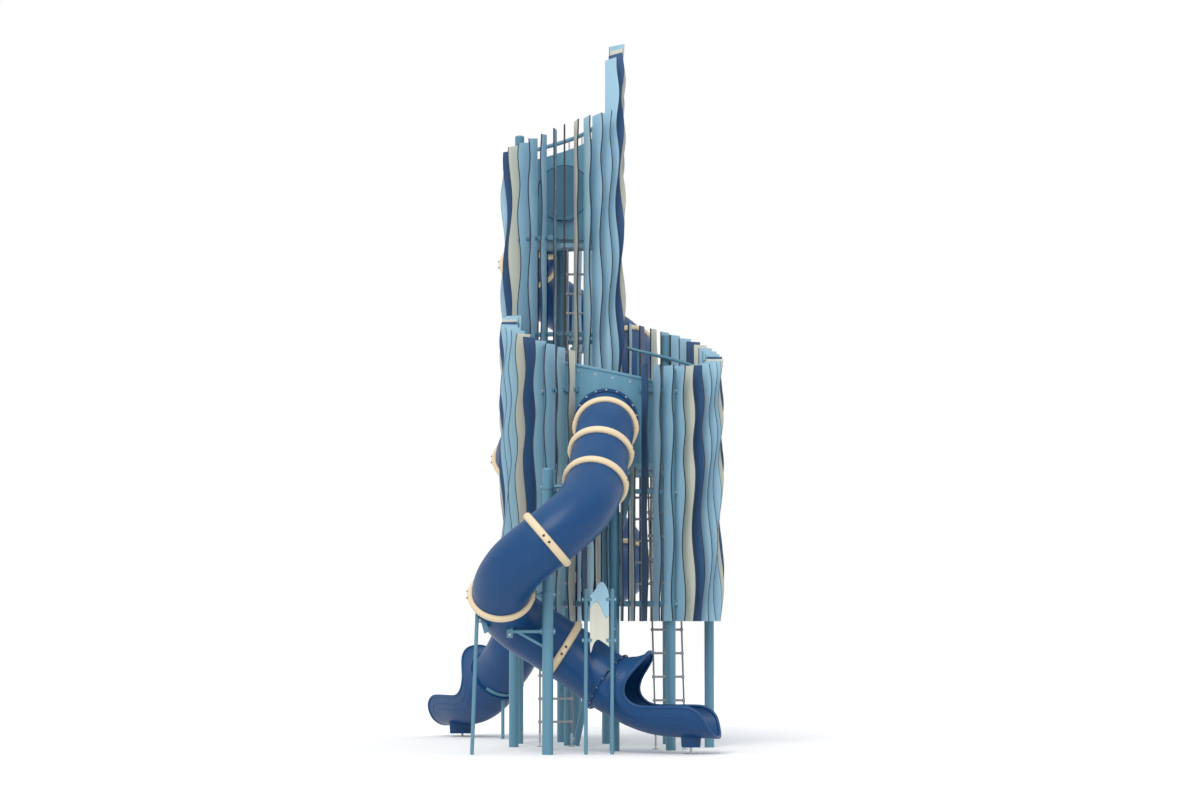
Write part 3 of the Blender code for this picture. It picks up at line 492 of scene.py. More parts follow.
SHORT_LEFT = row(-108.0, 7.2, "LLTNLLLTNLLL", 4) + [(-22.3, "T", 1)]
SHORT_LOW = [(-15.0, "N", 2), (-8.4, "T", 3), (-2.4, "L", 4), (5.4, "L", 0), (11.4, "T", 1)]
SHORT_RIGHT = row(18.0, 7.2, "NLLLTNLLLT", 2)
SHORT_BACK = row(90.0, 7.2, "NLLLTNLLLTNL", 2)
SHORT_BANKS = (
    ("short_fins_left_back", -112.0, -93.0), ("short_fins_left", -90.0, -40.0),
    ("short_fins_left_front", -39.0, -1.0), ("short_fins_right_front", 1.0, 35.0),
    ("short_fins_right", 36.0, 86.0), ("short_fins_right_back", 87.0, 143.0),
    ("short_fins_back", 144.0, 172.0),
)
BOARD_LOOKS = [LIGHT_BLUE, TAN, NAVY, EDGE]
for node, start, end in SHORT_BANKS:
    bank = Shape()
    for boards, top in ((SHORT_LEFT + SHORT_RIGHT + SHORT_BACK, None), (SHORT_LOW, LOW_BOARD_TOP)):
        for angle, colour, kind in boards:
            if start < angle < end:
                board(bank, angle, SHORT_IN, SHORT_OUT, BOARD_FOOT, top or short_top(angle), LOOKS[colour],
                      short_crests(kind))
    bank.make(node.replace("fins", "boards"), BOARD_LOOKS, [node])

# %% [markdown]
# ## The tall tower's boards
# Twenty-nine boards stand round the tall tower. Their tops climb from the left over the front to
# the right, follow one slanting cut, and jump up by 0.7 m at the right. The waves are longer than
# on the short tower. Six shapes repeat, and the boards on both flanks have crests of their
# own. Over the short tower's floor the boards begin at 4.86 m, so that people can pass.

# %% The tall tower's boards
TALL_IN, TALL_OUT = 0.645, 0.862
FOOT_OVER_FLOOR = 4.86
TALL_PITCH = 360.0 / 29
TALL_FIRST = 2.0
TALL_COLOURS = "LNTLLLLNTLLLLNTLLNTLLLNTLLLNL"
TALL_CRESTS = (-0.21, 1.12, 2.45, 3.78, 5.11, 6.44, 7.26, 8.08, 8.90, 9.72)
TALL_CREST_STEP = 0.36
FLANK_CRESTS = {
    -7: (0.8, 2.1, 3.5, 4.8, 6.11, 7.46, 8.30),
    -6: (0.4, 1.9, 3.4, 4.9, 6.42, 7.96, 9.40),
    -5: (0.7, 2.2, 3.7, 5.2, 6.65, 8.06, 9.50),
    5: (1.2, 2.6, 4.0, 5.3, 6.67, 8.00, 8.87, 9.70),
    6: (0.0, 1.4, 2.8, 4.2, 5.6, 7.00, 8.46, 9.21, 10.0),
    7: (0.4, 1.8, 3.2, 4.6, 6.04, 7.48, 8.30, 9.10, 9.90),
}
TOP_SLOPE = 0.24
TALL_TOP, TOP_STEP = 8.07, 0.045
JUMP_FROM, JUMP_TO, JUMP = 58.0, 107.0, 0.70
PANEL_HALF_ANGLE = 38.0


def tall_angle(k):
    """The boards left of the middle stand a little closer to it."""
    return TALL_FIRST + TALL_PITCH * k + (2.6 if -4 <= k <= -1 else 0.0)


def tall_top(angle):
    """The tops climb by a step a board, counted from the left. Behind, they end below the panel."""
    if abs(angle - 180.0) < PANEL_HALF_ANGLE:
        return UPPER_FLOOR + FLOOR_THICK
    turn = (angle + 253.0) % 360.0 - 163.0
    top = TALL_TOP + TOP_STEP * turn / TALL_PITCH
    top -= 0.080 * max(0.0, min(1.0, (115.0 - turn) / 45.0))
    if turn < 30.0:
        top += 0.035
    if JUMP_FROM < angle < JUMP_TO:
        top += JUMP + TOP_STEP * (angle - JUMP_FROM) / TALL_PITCH
    return top


def tall_crests(k):
    return FLANK_CRESTS.get(k) or [z + TALL_CREST_STEP * ((k + 6) % 6) for z in TALL_CRESTS]


def over_floor(angle):
    spot = on_ring(angle, TALL_IN, 0.0, TALL_OFFSET) - place(0, 0)
    return spot.length < SHORT_IN + 0.03


TALL_BANKS = (("tall_fins_front", -7, 0), ("tall_fins_right", 1, 7), ("tall_fins_back_right", 8, 14),
              ("tall_fins_back_left", 15, 21))
for node, first, last in TALL_BANKS:
    bank = Shape()
    for k in range(first, last + 1):
        angle = tall_angle(k)
        foot = FOOT_OVER_FLOOR if over_floor(angle) else BOARD_FOOT
        top = tall_top(angle - 360.0 if angle >= 180.0 + PANEL_HALF_ANGLE else angle)
        board(bank, angle, TALL_IN, TALL_OUT, foot, top, LOOKS[TALL_COLOURS[k + 7]], tall_crests(k),
              TALL_OFFSET, TOP_SLOPE)
    bank.make(node.replace("fins", "boards"), BOARD_LOOKS, [node])

# %% [markdown]
# ## The hoops
# Flat steel hoops run behind the boards and carry them. Each board is held to each hoop by a small
# clip with a bolt, and each hoop is clamped to the posts that it passes.

# %% Hoops, clips and clamps
HOOP_HIGH = 0.060


def hoop(shape, start, end, radius, level, offset=Vector()):
    count = max(2, round(abs(end - start) / 3.0))
    rings = []
    for i in range(count + 1):
        angle = start + (end - start) * i / count
        r0, r1, z0, z1, c = radius - 0.030, radius + 0.010, level, level + HOOP_HIGH, 0.006
        section = ((r0 + c, z0), (r1 - c, z0), (r1, z0 + c), (r1, z1 - c), (r1 - c, z1), (r0 + c, z1),
                   (r0, z1 - c), (r0, z0 + c))
        rings.append([on_ring(angle, r, z, offset) for r, z in section])
    shape.skin(rings)


def clip(shape, angle, radius, level, offset=Vector()):
    out, across = ring_ways(angle)
    middle = on_ring(angle, radius + 0.035, level + HOOP_HIGH / 2, offset) + across * (BOARD / 2 + 0.004)
    shape.block(middle, across * 0.003, out * 0.030, Vector((0, 0, 0.022)))
    shape.bolt(middle + across * 0.003 + out * 0.010, across, 0.009, 1)


def clamp(shape, foot, radius, level, high=0.07):
    """A band round a post, with two ears and bolts."""
    inner, outer = radius + 0.001, radius + 0.007
    edges = ((level, inner), (level, outer), (level + high, outer), (level + high, inner))
    shape.skin([circle(at_level(foot, z), UP, r, POST_SIDES) for z, r in edges], 0, caps=False)
    half = 0.010
    for s in (-1, 1):
        ear = Vector((foot.x + s * (radius + 0.014), foot.y, level + high / 2))
        shape.block(ear, Vector((half, 0, 0)), Vector((0, half, 0)), Vector((0, 0, high / 2)))
        shape.bolt(ear - Vector((0, half, 0)), TO_VIEWER, 0.007, 1)


def under_top(node, level):
    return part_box(node)[1].z > level + 0.1


SHORT_HOOPS = ((1.86, -111.0, 172.0), (3.30, -39.6, 36.0), (4.62, -111.0, -20.5), (4.62, 16.5, 172.0))
TALL_HOOPS = ((5.50, -91.1, 268.9), (6.81, -91.1, 268.9), (1.86, 100.0, 275.0))
BELOW_HOOP = 0.005

short_hoops = Shape()
for level, start, end in SHORT_HOOPS:
    hoop(short_hoops, start, end, SHORT_IN - 0.002, level)
    low_boards = SHORT_LOW if level < LOW_BOARD_TOP else []
    for angle, colour, kind in SHORT_LEFT + SHORT_RIGHT + SHORT_BACK + low_boards:
        if start < angle < end:
            clip(short_hoops, angle, SHORT_IN, level)
    for node in SHORT_POSTS:
        spot = middle_of(node) - SHORT_MIDDLE
        angle = degrees(atan2(spot.x, -spot.y))
        if start - 1 < angle < end + 1 and under_top(node, level):
            clamp(short_hoops, middle_of(node), POST_R, level - BELOW_HOOP)
short_hoops.make("short_hoops", [TEAL, ZINC])

tall_hoops = Shape()
for level, start, end in TALL_HOOPS:
    hoop(tall_hoops, start, end, TALL_IN - 0.002, level, TALL_OFFSET)
    for k in range(-7, 22):
        angle = tall_angle(k)
        if start - 2 < angle < end + 2:
            clip(tall_hoops, angle, TALL_IN, level, TALL_OFFSET)
    for node in TALL_POSTS if level > BOARD_FOOT + 1.0 else ("tall_post_right", "tall_post_back"):
        if under_top(node, level):
            clamp(tall_hoops, middle_of(node), POST_R, level - BELOW_HOOP)
tall_hoops.make("tall_hoops", [TEAL, ZINC])

# %% [markdown]
# ## The curved panels
# Each slide starts behind a curved panel with a round hole. A workshop cuts such a panel flat and
# rolls it afterwards, and so does this code: rays go from the hole's rim to the sheet's edge, and the
# flat pattern is then rolled to the ring's radius. That needs no boolean and leaves clean quads.


# %% Rolled panels
PANEL_THICK = 0.020
HOLE_R = 0.375
HOLE_RAYS, PANEL_RINGS = 96, 8
RAIL_R, FREE_RAIL_R, STAND_OFF_R = 0.024, 0.029, 0.010


def rolled_panel(name, node, start, end, radius, low, high_start, high_end, hole, offset=Vector(),
                 rail_gap=0.0):
    """hole is the tube's start. It is round seen along Y, so its pattern is stretched by the roll. The
    rail sits on the sheet's top edge, or rail_gap above it on short stand-offs."""
    high_start, high_end = high_start - rail_gap, high_end - rail_gap
    along = radius + PANEL_THICK / 2
    flat_start, flat_end = radians(start) * along, radians(end) * along
    facing = pi if hole.y > SHORT_MIDDLE.y + offset.y else 0.0
    sign = -1.0 if facing else 1.0
    hole_x = (hole.x - SHORT_MIDDLE.x - offset.x) * sign
    hole_u = along * (facing + asin(hole_x / along))

    def rim(turn):
        x = hole_x + HOLE_R * cos(turn)
        return along * (facing + asin(max(-0.999, min(0.999, x / along)))), hole.z + HOLE_R * sin(turn)

    def edge(turn):
        way_u, way_z = cos(turn), sin(turn)
        best = 1e9
        if abs(way_u) > 1e-9:
            best = min(best, ((flat_end if way_u > 0 else flat_start) - hole_u) / way_u)
        if way_z < -1e-9:
            best = min(best, (low - hole.z) / way_z)
        if way_z > 1e-9:
            slope = (high_end - high_start) / (flat_end - flat_start)
            top_here = high_start + slope * (hole_u - flat_start)
            reach = (top_here - hole.z) / (way_z - slope * way_u)
            best = min(best, reach) if reach > 0 else best
        return hole_u + way_u * best, hole.z + way_z * best

    turns = [2 * pi * i / HOLE_RAYS for i in range(HOLE_RAYS)]
    for u, z in ((flat_start, low), (flat_end, low), (flat_start, high_start), (flat_end, high_end)):
        turns.append(atan2(z - hole.z, u - hole_u) % (2 * pi))
    turns.sort()
    ways = [(*rim(turn), *edge(turn)) for turn in turns]
    sheet = Shape()
    inner, outer = [], []
    for layer, r in ((inner, radius), (outer, radius + PANEL_THICK)):
        for k in range(PANEL_RINGS + 1):
            t = k / PANEL_RINGS
            flat = [(u0 + (u1 - u0) * t, z0 + (z1 - z0) * t) for u0, z0, u1, z1 in ways]
            layer.append(sheet.ring([on_ring(degrees(u / along), r, z, offset) for u, z in flat]))
    for k in range(PANEL_RINGS):
        sheet.join(inner[k], inner[k + 1])
        sheet.join(outer[k + 1], outer[k])
    sheet.join(outer[0], inner[0])
    sheet.join(inner[-1], outer[-1])

    def at_top(t, r, above):
        """A place at the share t of the sheet's top edge."""
        level = high_start + (high_end - high_start) * t + above
        return on_ring(start + (end - start) * t, r, level, offset)

    rail = [at_top(i / 48, along, rail_gap + 0.012) for i in range(49)]
    bar(sheet, rail, FREE_RAIL_R if rail_gap else RAIL_R)
    for where in rail[4:46:8] if rail_gap else []:
        sheet.rod(where - Vector((0, 0, rail_gap + 0.05)), where, STAND_OFF_R, 1)
    for i in range(1, 6):
        out, across = ring_ways(start + (end - start) * i / 6)
        sheet.bolt(at_top(i / 6, radius + PANEL_THICK, -0.06), out, 0.009, 1)
    sheet.make(name, [PANEL, ZINC], [node])


def bar(shape, points, radius, sides=16):
    """A round bar through many points, with softened ends."""
    last = len(points) - 1
    soft = radius * 0.2
    rings = []
    for i, where in enumerate(points):
        along = (points[min(i + 1, last)] - points[max(i - 1, 0)]).normalized()
        if 0 < i < last:
            rings.append(circle(where, along, radius, sides))
            continue
        inwards = along if i == 0 else -along
        ends = [circle(where, along, radius - soft, sides),
                circle(where + inwards * soft, along, radius, sides)]
        rings += ends if i == 0 else reversed(ends)
    shape.skin(rings)


FRONT_START, REAR_START = place(-0.072, -1.15, 4.245), place(-0.65, 1.58, 7.62)
rolled_panel("front_panel", "short_front_panel", -31.5, 32.5, 1.200, MAIN_FLOOR + 0.001, 5.00, 4.72,
             FRONT_START)
rolled_panel("back_panel", "tall_back_panel", 118.0, 246.0, 0.500, UPPER_FLOOR + 0.001, 8.495, 8.125,
             REAR_START, TALL_OFFSET, 0.125)

# %% [markdown]
# ## The slides' lines
# A tube slide is bolted together from short moulded bends. Its middle line is a smooth curve through
# a few points of the plan, so the same Catmull-Rom curve as in the CAD is sampled here eight times
# a piece instead of twice. Everything on a slide (tube, collars, arms, exit) is placed on its line.

# %% The slide lines
FINE = 8
PER_CAD_SAMPLE = FINE // 2
TUBE_R, TUBE_WALL = 0.370, 0.012
FRONT_POINTS = (
    (-0.07, -1.15, 4.27), (-0.09, -1.60, 4.08), (-0.16, -2.02, 3.70), (-0.225, -2.42, 3.34),
    (-0.395, -2.81, 3.02), (-0.805, -2.99, 2.66), (-1.215, -2.81, 2.32), (-1.385, -2.40, 1.99),
    (-1.215, -1.99, 1.69), (-0.805, -1.80, 1.41), (-0.45, -1.78, 1.18), (-0.06, -1.90, 0.90),
)
REAR_FIRST = ((-0.65, 1.58, 7.62), (-0.75, 2.15, 7.44), (-0.93, 2.75, 7.18))
REAR_LAST = (
    (0.02, 2.92, 2.27), (-0.52, 2.60, 2.05), (-1.00, 2.42, 1.71), (-1.29, 2.50, 1.38), (-1.447, 2.755, 1.12),
    (-1.61, 3.02, 0.90),
)
TURN_MIDDLE = (-0.49, 3.45)
FIRST_TURN = (-0.44, 0.75)
TURN_RADIUS = 0.80
TURN_NARROWS = 0.05
TURN_TOP = 6.81
TURN_DROP, LOW_TURN_DROP = 1.41 / 4, 1.52 / 4


def rear_points():
    """Out of the panel, clockwise seen from above in steps of 45 degrees, then to the exit."""
    points = list(REAR_FIRST)
    for step in range(13):
        turn = radians(180.0 - 45.0 * step)
        x, radius = FIRST_TURN if step < 4 else (TURN_MIDDLE[0], TURN_RADIUS)
        radius -= TURN_NARROWS * max(0, step - 10)
        z = TURN_TOP - TURN_DROP * min(step, 8) - LOW_TURN_DROP * max(0, step - 8)
        points.append((x + radius * cos(turn), TURN_MIDDLE[1] + radius * sin(turn), z))
    return points + list(REAR_LAST)


def curve_at(a, b, c, d, t):
    """A Catmull-Rom curve's place and direction at the share t of the way from b to c."""
    once, twice, thrice = c - a, 2 * a - 5 * b + 4 * c - d, 3 * b - a - 3 * c + d
    where = 0.5 * (2 * b + once * t + twice * t ** 2 + thrice * t ** 3)
    along = 0.5 * (once + 2 * twice * t + 3 * thrice * t ** 2)
    return where, along.normalized()


def curve(points, steps):
    """Smooth samples, each a place and a direction, through the points."""
    ends = [2 * points[0] - points[1]] + list(points) + [2 * points[-1] - points[-2]]
    samples = []
    for k in range(1, len(ends) - 2):
        samples += [curve_at(*ends[k - 1:k + 3], i / steps) for i in range(steps)]
    return samples + [curve_at(*ends[-4:], 1.0)]


def slide_line(points, start_along):
    samples = curve([place(*p) for p in points], FINE)
    return [(samples[0][0], Vector(start_along))] + samples[1:]


FRONT_LINE = slide_line(FRONT_POINTS, (0, -1, 0))
REAR_LINE = slide_line(rear_points(), (0, 1, 0))
print("samples", len(FRONT_LINE), len(REAR_LINE))

# %% [markdown]
# ## The tubes
# Each run is a real hollow tube with an inner and an outer face, because one looks into both ends.
# Its first and last rings lie where the CAD cuts the slide, at or beside a collar or a flange.

# %% Tubes
ROUND = 56


def hollow(shape, samples, lifts=None, sizes=None, inside=0):
    """An outer and an inner skin, joined at both ends. sizes widens both along the way."""
    lifts = lifts or [1.0] * len(samples)
    sizes = sizes or [1.0] * len(samples)
    outer, inner = [[shape.ring(circle(where, along, radius * size, ROUND, lift))
                     for (where, along), lift, size in zip(samples, lifts, sizes)]
                    for radius in (TUBE_R, TUBE_R - TUBE_WALL)]
    for a, b in zip(outer, outer[1:]):
        shape.join(a, b)
    for a, b in zip(inner, inner[1:]):
        shape.join(b, a, inside)
    shape.join(inner[0], outer[0])
    shape.join(outer[-1], inner[-1])


def tube_run(name, node, line, start, end):
    """The inside of the rear slide's first run shows through the tower. It gets a paler colour and a painted
    glow, painted light where the inside lies in shade.
    """
    run = Shape()
    hollow(run, line[start * PER_CAD_SAMPLE:end * PER_CAD_SAMPLE + 1], inside=1)
    painted_glow = name == "rear_tube_top"
    # The inner skin and the first two outer bands get the painted glow.
    if painted_glow:
        run.looks[:ROUND * 2] = [1] * (ROUND * 2)
    run.make(name, [SLIDE, PAINTED_GLOW_INSIDE if painted_glow else SLIDE], [node])


FRONT_CUTS, REAR_CUTS = (0, 6, 14, 22), (0, 13, 22, 30, 42)
for k, part in enumerate(("upper", "bend", "lower")):
    tube_run("front_tube_" + part, "front_slide_" + part, FRONT_LINE, FRONT_CUTS[k], FRONT_CUTS[k + 1])
for k, part in enumerate(("top", "upper", "middle", "lower")):
    tube_run("rear_tube_" + part, "rear_slide_" + part, REAR_LINE, REAR_CUTS[k], REAR_CUTS[k + 1])

# %% [markdown]
# ## The collars
# Cream collars clamp the joints. Each is a half-round band in two halves that overlap at the sides
# of the tube, where the band swells and two bolts sit 93 mm apart.

# %% Collars
COLLAR_MIDDLE, COLLAR_HALF_WIDE, COLLAR_HALF_HIGH = 0.383, 0.050, 0.038
LAP_SWELL, LAP_REACH, LAP_SLOPE = 0.009, radians(15), radians(7)
BOLT_PITCH = 0.093


def ring_frame(sample):
    where, along = sample
    side = along.cross(UP).normalized()
    return where, along, side, side.cross(along).normalized()


def collar(name, sample, hides=()):
    where, along, side, up = ring_frame(sample)
    rings, count = [], 96
    band = Shape()
    for i in range(count):
        turn = 2 * pi * i / count
        out = side * cos(turn) + up * sin(turn)
        off = min(abs(turn - lap) for lap in (0.0, pi, 2 * pi))
        rise = max(0.0, min(1.0, (LAP_REACH - off) / LAP_SLOPE))
        swell = LAP_SWELL * rise * rise * (3 - 2 * rise)
        points = []
        for k in range(14):
            bend = 2 * pi * k / 14
            reach = COLLAR_MIDDLE + (COLLAR_HALF_HIGH + swell) * sin(bend)
            points.append(where + out * reach + along * (COLLAR_HALF_WIDE * cos(bend)))
        rings.append(points)
    band.skin(rings, looped=True)
    for lap in (0.0, pi):
        for s in (-1, 1):
            turn = lap + s * BOLT_PITCH / 2 / COLLAR_MIDDLE
            out = side * cos(turn) + up * sin(turn)
            band.bolt(where + out * (COLLAR_MIDDLE + COLLAR_HALF_HIGH + LAP_SWELL - 0.001), out, 0.010, 1)
    band.make(name, [CREAM, DARK_BOLT], hides)


FRONT_COLLARS = (6, 14, 23, 40, 56, 76)
REAR_COLLARS = {4: "", 6: "rear_collar_1", 13: "rear_collar_2", 22: "rear_collar_3", 30: "rear_collar_4",
                34: ""}
for k, sample in enumerate(FRONT_COLLARS):
    collar("front_band_" + str(k + 1), FRONT_LINE[sample], ["front_collar_" + str(k + 1)])
for k, (index, node) in enumerate(REAR_COLLARS.items()):
    collar("rear_band_" + str(k + 1), REAR_LINE[index * PER_CAD_SAMPLE], [node] if node else [])

# %% [markdown]
# ## Flanges
# A flange is a flat ring with a rounded edge and bolts every 20 degrees. One sits where each tube
# leaves its panel, and one where each tube passes into its open end.

# %% Flanges
FLANGE_R, FLANGE_BOLTS_R = 0.414, 0.395


def flange(shape, sample, inner, thick, tall=1.0):
    """tall makes the inner edge and its lip taller than wide."""
    where, along, side, up = ring_frame(sample)
    profile = ((inner, 0.0), (FLANGE_R - 0.004, 0.0), (FLANGE_R, 0.004), (FLANGE_R, thick - 0.004),
               (FLANGE_R - 0.004, thick), (0.384, thick), (0.378, thick + 0.010), (inner, thick + 0.012))
    rings = []
    for radius, depth in profile:
        points = []
        for i in range(72):
            turn = 2 * pi * i / 72
            stretch = tall if radius < 0.39 else 1.0
            points.append(where + along * depth + side * (radius * cos(turn))
                          + up * (radius * stretch * sin(turn)))
        rings.append(points)
    shape.skin(rings, looped=True)
    for i in range(0, 360, 20):
        turn = radians(i + 10)
        out = side * cos(turn) + up * sin(turn)
        shape.bolt(where + out * FLANGE_BOLTS_R + along * (thick - 0.001), along, 0.008, 1)


RING_INNER, RING_THICK = 0.368, 0.022
front_at = middle_of("front_flange")
front_at.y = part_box("front_flange")[1].y
front_ring = Shape()
flange(front_ring, (front_at, TO_VIEWER), RING_INNER, RING_THICK, 1.03)
front_ring.make("front_flange_ring", [SLIDE, ZINC], ["front_flange"])
rear_at = Vector((REAR_START.x, TALL_OFFSET.y + SHORT_MIDDLE.y + 0.5215, REAR_START.z))
rear_ring = Shape()
flange(rear_ring, (rear_at, -TO_VIEWER), RING_INNER, RING_THICK, 1.02)
rear_ring.make("rear_flange_ring", [SLIDE, ZINC])

# %% [markdown]
# ## The open ends
# A slide ends in one moulding: a hood, a way in under it, and a trough that levels out. The shape is
# a swept section that swells upwards, cut with one side view. The cut's edge is then found again on
# the surface, point by point, and a rolled rim and a thin raised line run along it.

# %% The exit's shell
EXIT_LINE = (
    (0.00, 0.900, 0.370), (0.20, 0.790, 0.490), (0.40, 0.690, 0.765), (0.60, 0.620, 0.810),
    (0.80, 0.585, 0.560), (1.05, 0.572, 0.370), (1.30, 0.566, 0.370), (1.50, 0.560, 0.370),
)
EXIT_CUT = (
    (0.36, 1.60), (0.44, 1.44), (0.505, 1.385), (0.550, 1.350), (0.567, 1.300), (0.550, 1.235), (0.50, 1.15),
    (0.43, 1.06), (0.345, 0.94), (0.305, 0.81), (0.34, 0.70), (0.44, 0.62), (0.58, 0.59), (1.10, 0.59),
    (1.22, 0.56), (1.32, 0.47), (1.38, 0.33), (1.44, 0.21), (1.52, 0.10), (1.95, 0.10),
)
CUT_CORNER = (1.95, 1.60)
CUT_HALF_WIDE = 0.6
RIM_R, LINE_R, LINE_OFF, LINE_GAP = 0.021, 0.007, 0.115, 0.085


def exit_samples(seam, along):
    """The exit's sections: place, direction and how far each reaches up, and its side-view frame."""
    forward = Vector((along.x, along.y, 0.0)).normalized()
    base = Vector((seam.x, seam.y, 0.0))
    knots = [Vector(p) for p in EXIT_LINE]
    slope = along.z / Vector((along.x, along.y)).length
    knots[0].z = TUBE_R
    before = Vector((-0.2, 0.9 - 0.2 * slope, TUBE_R))
    samples, lifts = [], []
    ends = [before] + knots + [2 * knots[-1] - knots[-2]]
    for k in range(1, len(ends) - 2):
        for i in range(6):
            spot, way = curve_at(*ends[k - 1:k + 3], i / 6)
            way = Vector((way.x, way.y, 0.0)).normalized()
            samples.append((base + forward * spot.x + Vector((0, 0, spot.y)),
                            (forward * way.x + Vector((0, 0, way.y))).normalized()))
            lifts.append(spot.z / TUBE_R)
    samples.append((base + forward * knots[-1].x + Vector((0, 0, knots[-1].y)), forward.copy()))
    lifts.append(1.0)
    samples[0] = (seam, along)
    return base, forward, samples, lifts


def on_exit(base, forward, samples, lifts, sizes, distance, height, thin):
    """The two places on the shell that the side view shows at this distance and height."""
    target = base + forward * distance + Vector((0, 0, height))
    for (w0, a0), (w1, a1), l0, l1, size in zip(samples, samples[1:], lifts, lifts[1:], sizes):
        before, after = (target - w0).dot(a0), (target - w1).dot(a1)
        if before >= 0 > after:
            t = before / (before - after)
            where, along, side, up = ring_frame((w0.lerp(w1, t), a0.lerp(a1, t).normalized()))
            lift = l0 + (l1 - l0) * t
            h = (target - where).dot(up)
            radius = (TUBE_R - thin) * size
            reach = radius * (lift if h > 0 else 1.0)
            if abs(h) <= reach:
                wide = radius * sqrt(1.0 - (h / reach) ** 2)
                return where + up * h + side * wide, where + up * h - side * wide
    return None


def closed_bar(shape, points, radius, sides=14):
    """A round bar along a closed path. Its section is carried on without twist."""
    count = len(points)
    ways = [(points[(i + 1) % count] - points[i - 1]).normalized() for i in range(count)]
    side = ways[0].orthogonal().normalized()
    rings = []
    for where, way in zip(points, ways):
        side = (side - way * side.dot(way)).normalized()
        up = way.cross(side)
        turns = [2 * pi * k / sides for k in range(sides)]
        rings.append([where + side * (radius * cos(turn)) + up * (radius * sin(turn)) for turn in turns])
    first = rings[0]
    shift = min(range(sides), key=lambda s: (rings[-1][s] - first[0]).length)
    rings.append([first[(k - shift) % sides] for k in range(sides)])
    shape.skin(rings)


def resampled(points, gap):
    """Points at even distances along a path."""
    kept = [points[0]]
    for p in points[1:]:
        while (p - kept[-1]).length > gap:
            kept.append(kept[-1] + (p - kept[-1]).normalized() * gap)
    return kept


def smoothed(points, rounds):
    """Each round moves every point of a closed path towards its neighbours."""
    for _ in range(rounds):
        count = len(points)
        points = [(points[i - 1] + points[i] * 2 + points[(i + 1) % count]) / 4 for i in range(count)]
    return points


def cut_away(made, tool_shape):
    """Cuts a shape out of a made piece for good. The cut runs once, so no modifier stays."""
    tool = bpy.data.objects.new("cutter", tool_shape.mesh("cutter"))
    bpy.context.scene.collection.objects.link(tool)
    step = made.modifiers.new("cut", "BOOLEAN")
    step.operation, step.solver, step.object = "DIFFERENCE", "EXACT", tool
    bpy.context.view_layer.update()
    graph = bpy.context.evaluated_depsgraph_get()
    baked = bpy.data.meshes.new_from_object(made.evaluated_get(graph))
    made.modifiers.clear()
    made.data = baked
    bpy.data.objects.remove(tool)
    baked.shade_smooth()
    baked.set_sharp_from_angle(angle=radians(35))


def exit_piece(name, node, line, grows=1.0):
    """grows widens the moulding away from the flange."""
    seam, along = line[-1]
    base, forward, samples, lifts = exit_samples(seam, along)
    sizes = [1.0 + (grows - 1.0) * min(1.0, i / 9) for i in range(len(samples))]
    side = Vector((-forward.y, forward.x, 0.0))
    shell = Shape()
    hollow(shell, samples, lifts, sizes)
    made = shell.make(name, [SLIDE, ZINC], [node])

    side_view = [Vector((d, z, 0)) for d, z in EXIT_CUT]
    outline = [p for p, way in curve(side_view[:-1], 5)] + [side_view[-1]]
    left = [base + forward * p.x + Vector((0, 0, p.y)) - side * CUT_HALF_WIDE
            for p in outline + [Vector((*CUT_CORNER, 0))]]
    cutter = Shape()
    cutter.skin([left, [p + side * (2 * CUT_HALF_WIDE) for p in left]])
    cut_away(made, cutter)

    trim = Shape()
    for thin, off, thick in ((TUBE_WALL / 2, 0.0, RIM_R), (0.0, LINE_OFF, LINE_R),
                             (0.0, LINE_OFF + LINE_GAP, LINE_R)):
        rights, lefts = [], []
        for i, p in enumerate(outline[:-1]):
            way = (outline[i + 1] - outline[max(i - 1, 0)]).normalized()
            found = on_exit(base, forward, samples, lifts, sizes, p.x + way.y * off, p.y - way.x * off, thin)
            if found:
                rights.append(found[0])
                lefts.append(found[1])
        loop = resampled(rights + lefts[::-1] + [rights[0]], 0.025)[:-1]
        closed_bar(trim, smoothed(loop, 4 if off == 0 else 8), thick)
    flange(trim, (seam, along), 0.366, 0.020)
    trim.make(name + "_trim", [SLIDE, ZINC])


# %% Both exits
exit_piece("front_open_end", "front_slide_exit", FRONT_LINE)
exit_piece("rear_open_end", "rear_slide_exit", REAR_LINE, 1.10)

# %% [markdown]
# ## What holds the slides
# A thick post stands in the middle of each slide's turns and holds the collars with short arms. The
# front one also has a bracket: an arm with a brace under it, which ends in a bolted plate. Thin
# posts take the low ends, the rear one with a strap under the tube.


# %% Slide posts
ARM_R, BRACE_R = 0.022, 0.017
ARM_ENDS = 0.395
CLAMP_HALF_HIGH = 0.035


def arm_to(shape, column, where):
    """An arm at the collar's height from the post to the collar, with a clamp on the post."""
    start = at_level(column, where.z)
    way = (where - start).normalized()
    end = where - way * ARM_ENDS
    shape.rod(start + way * 0.05, end, ARM_R)
    clamp(shape, column, SLIDE_POST_R, start.z - CLAMP_HALF_HIGH)
    shape.rod(end - way * 0.012, end, 0.050)


def slide_post(name, node, foot, line, collars, extra=None):
    column = Shape()
    turned_post(column, foot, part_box(node)[1].z - CAP_HIGH, SLIDE_POST_R)
    for index in collars:
        arm_to(column, foot, line[index * PER_CAD_SAMPLE][0])
    if extra:
        extra(column, foot)
    column.make(name, [TEAL, ZINC], [node])


def saddle(shape, sample, start, end):
    """A curved strap under a tube, from one angle to another, 0 being the tube's right side."""
    where, along, side, up = ring_frame(sample)
    inner, outer, half = TUBE_R + 0.006, TUBE_R + 0.014, 0.03
    rings = []
    for i in range(13):
        turn = radians(start + (end - start) * i / 12)
        out = side * cos(turn) + up * sin(turn)
        rings.append([where + out * r + along * w
                      for r, w in ((inner, -half), (outer, -half), (outer, half), (inner, half))])
    shape.skin(rings)


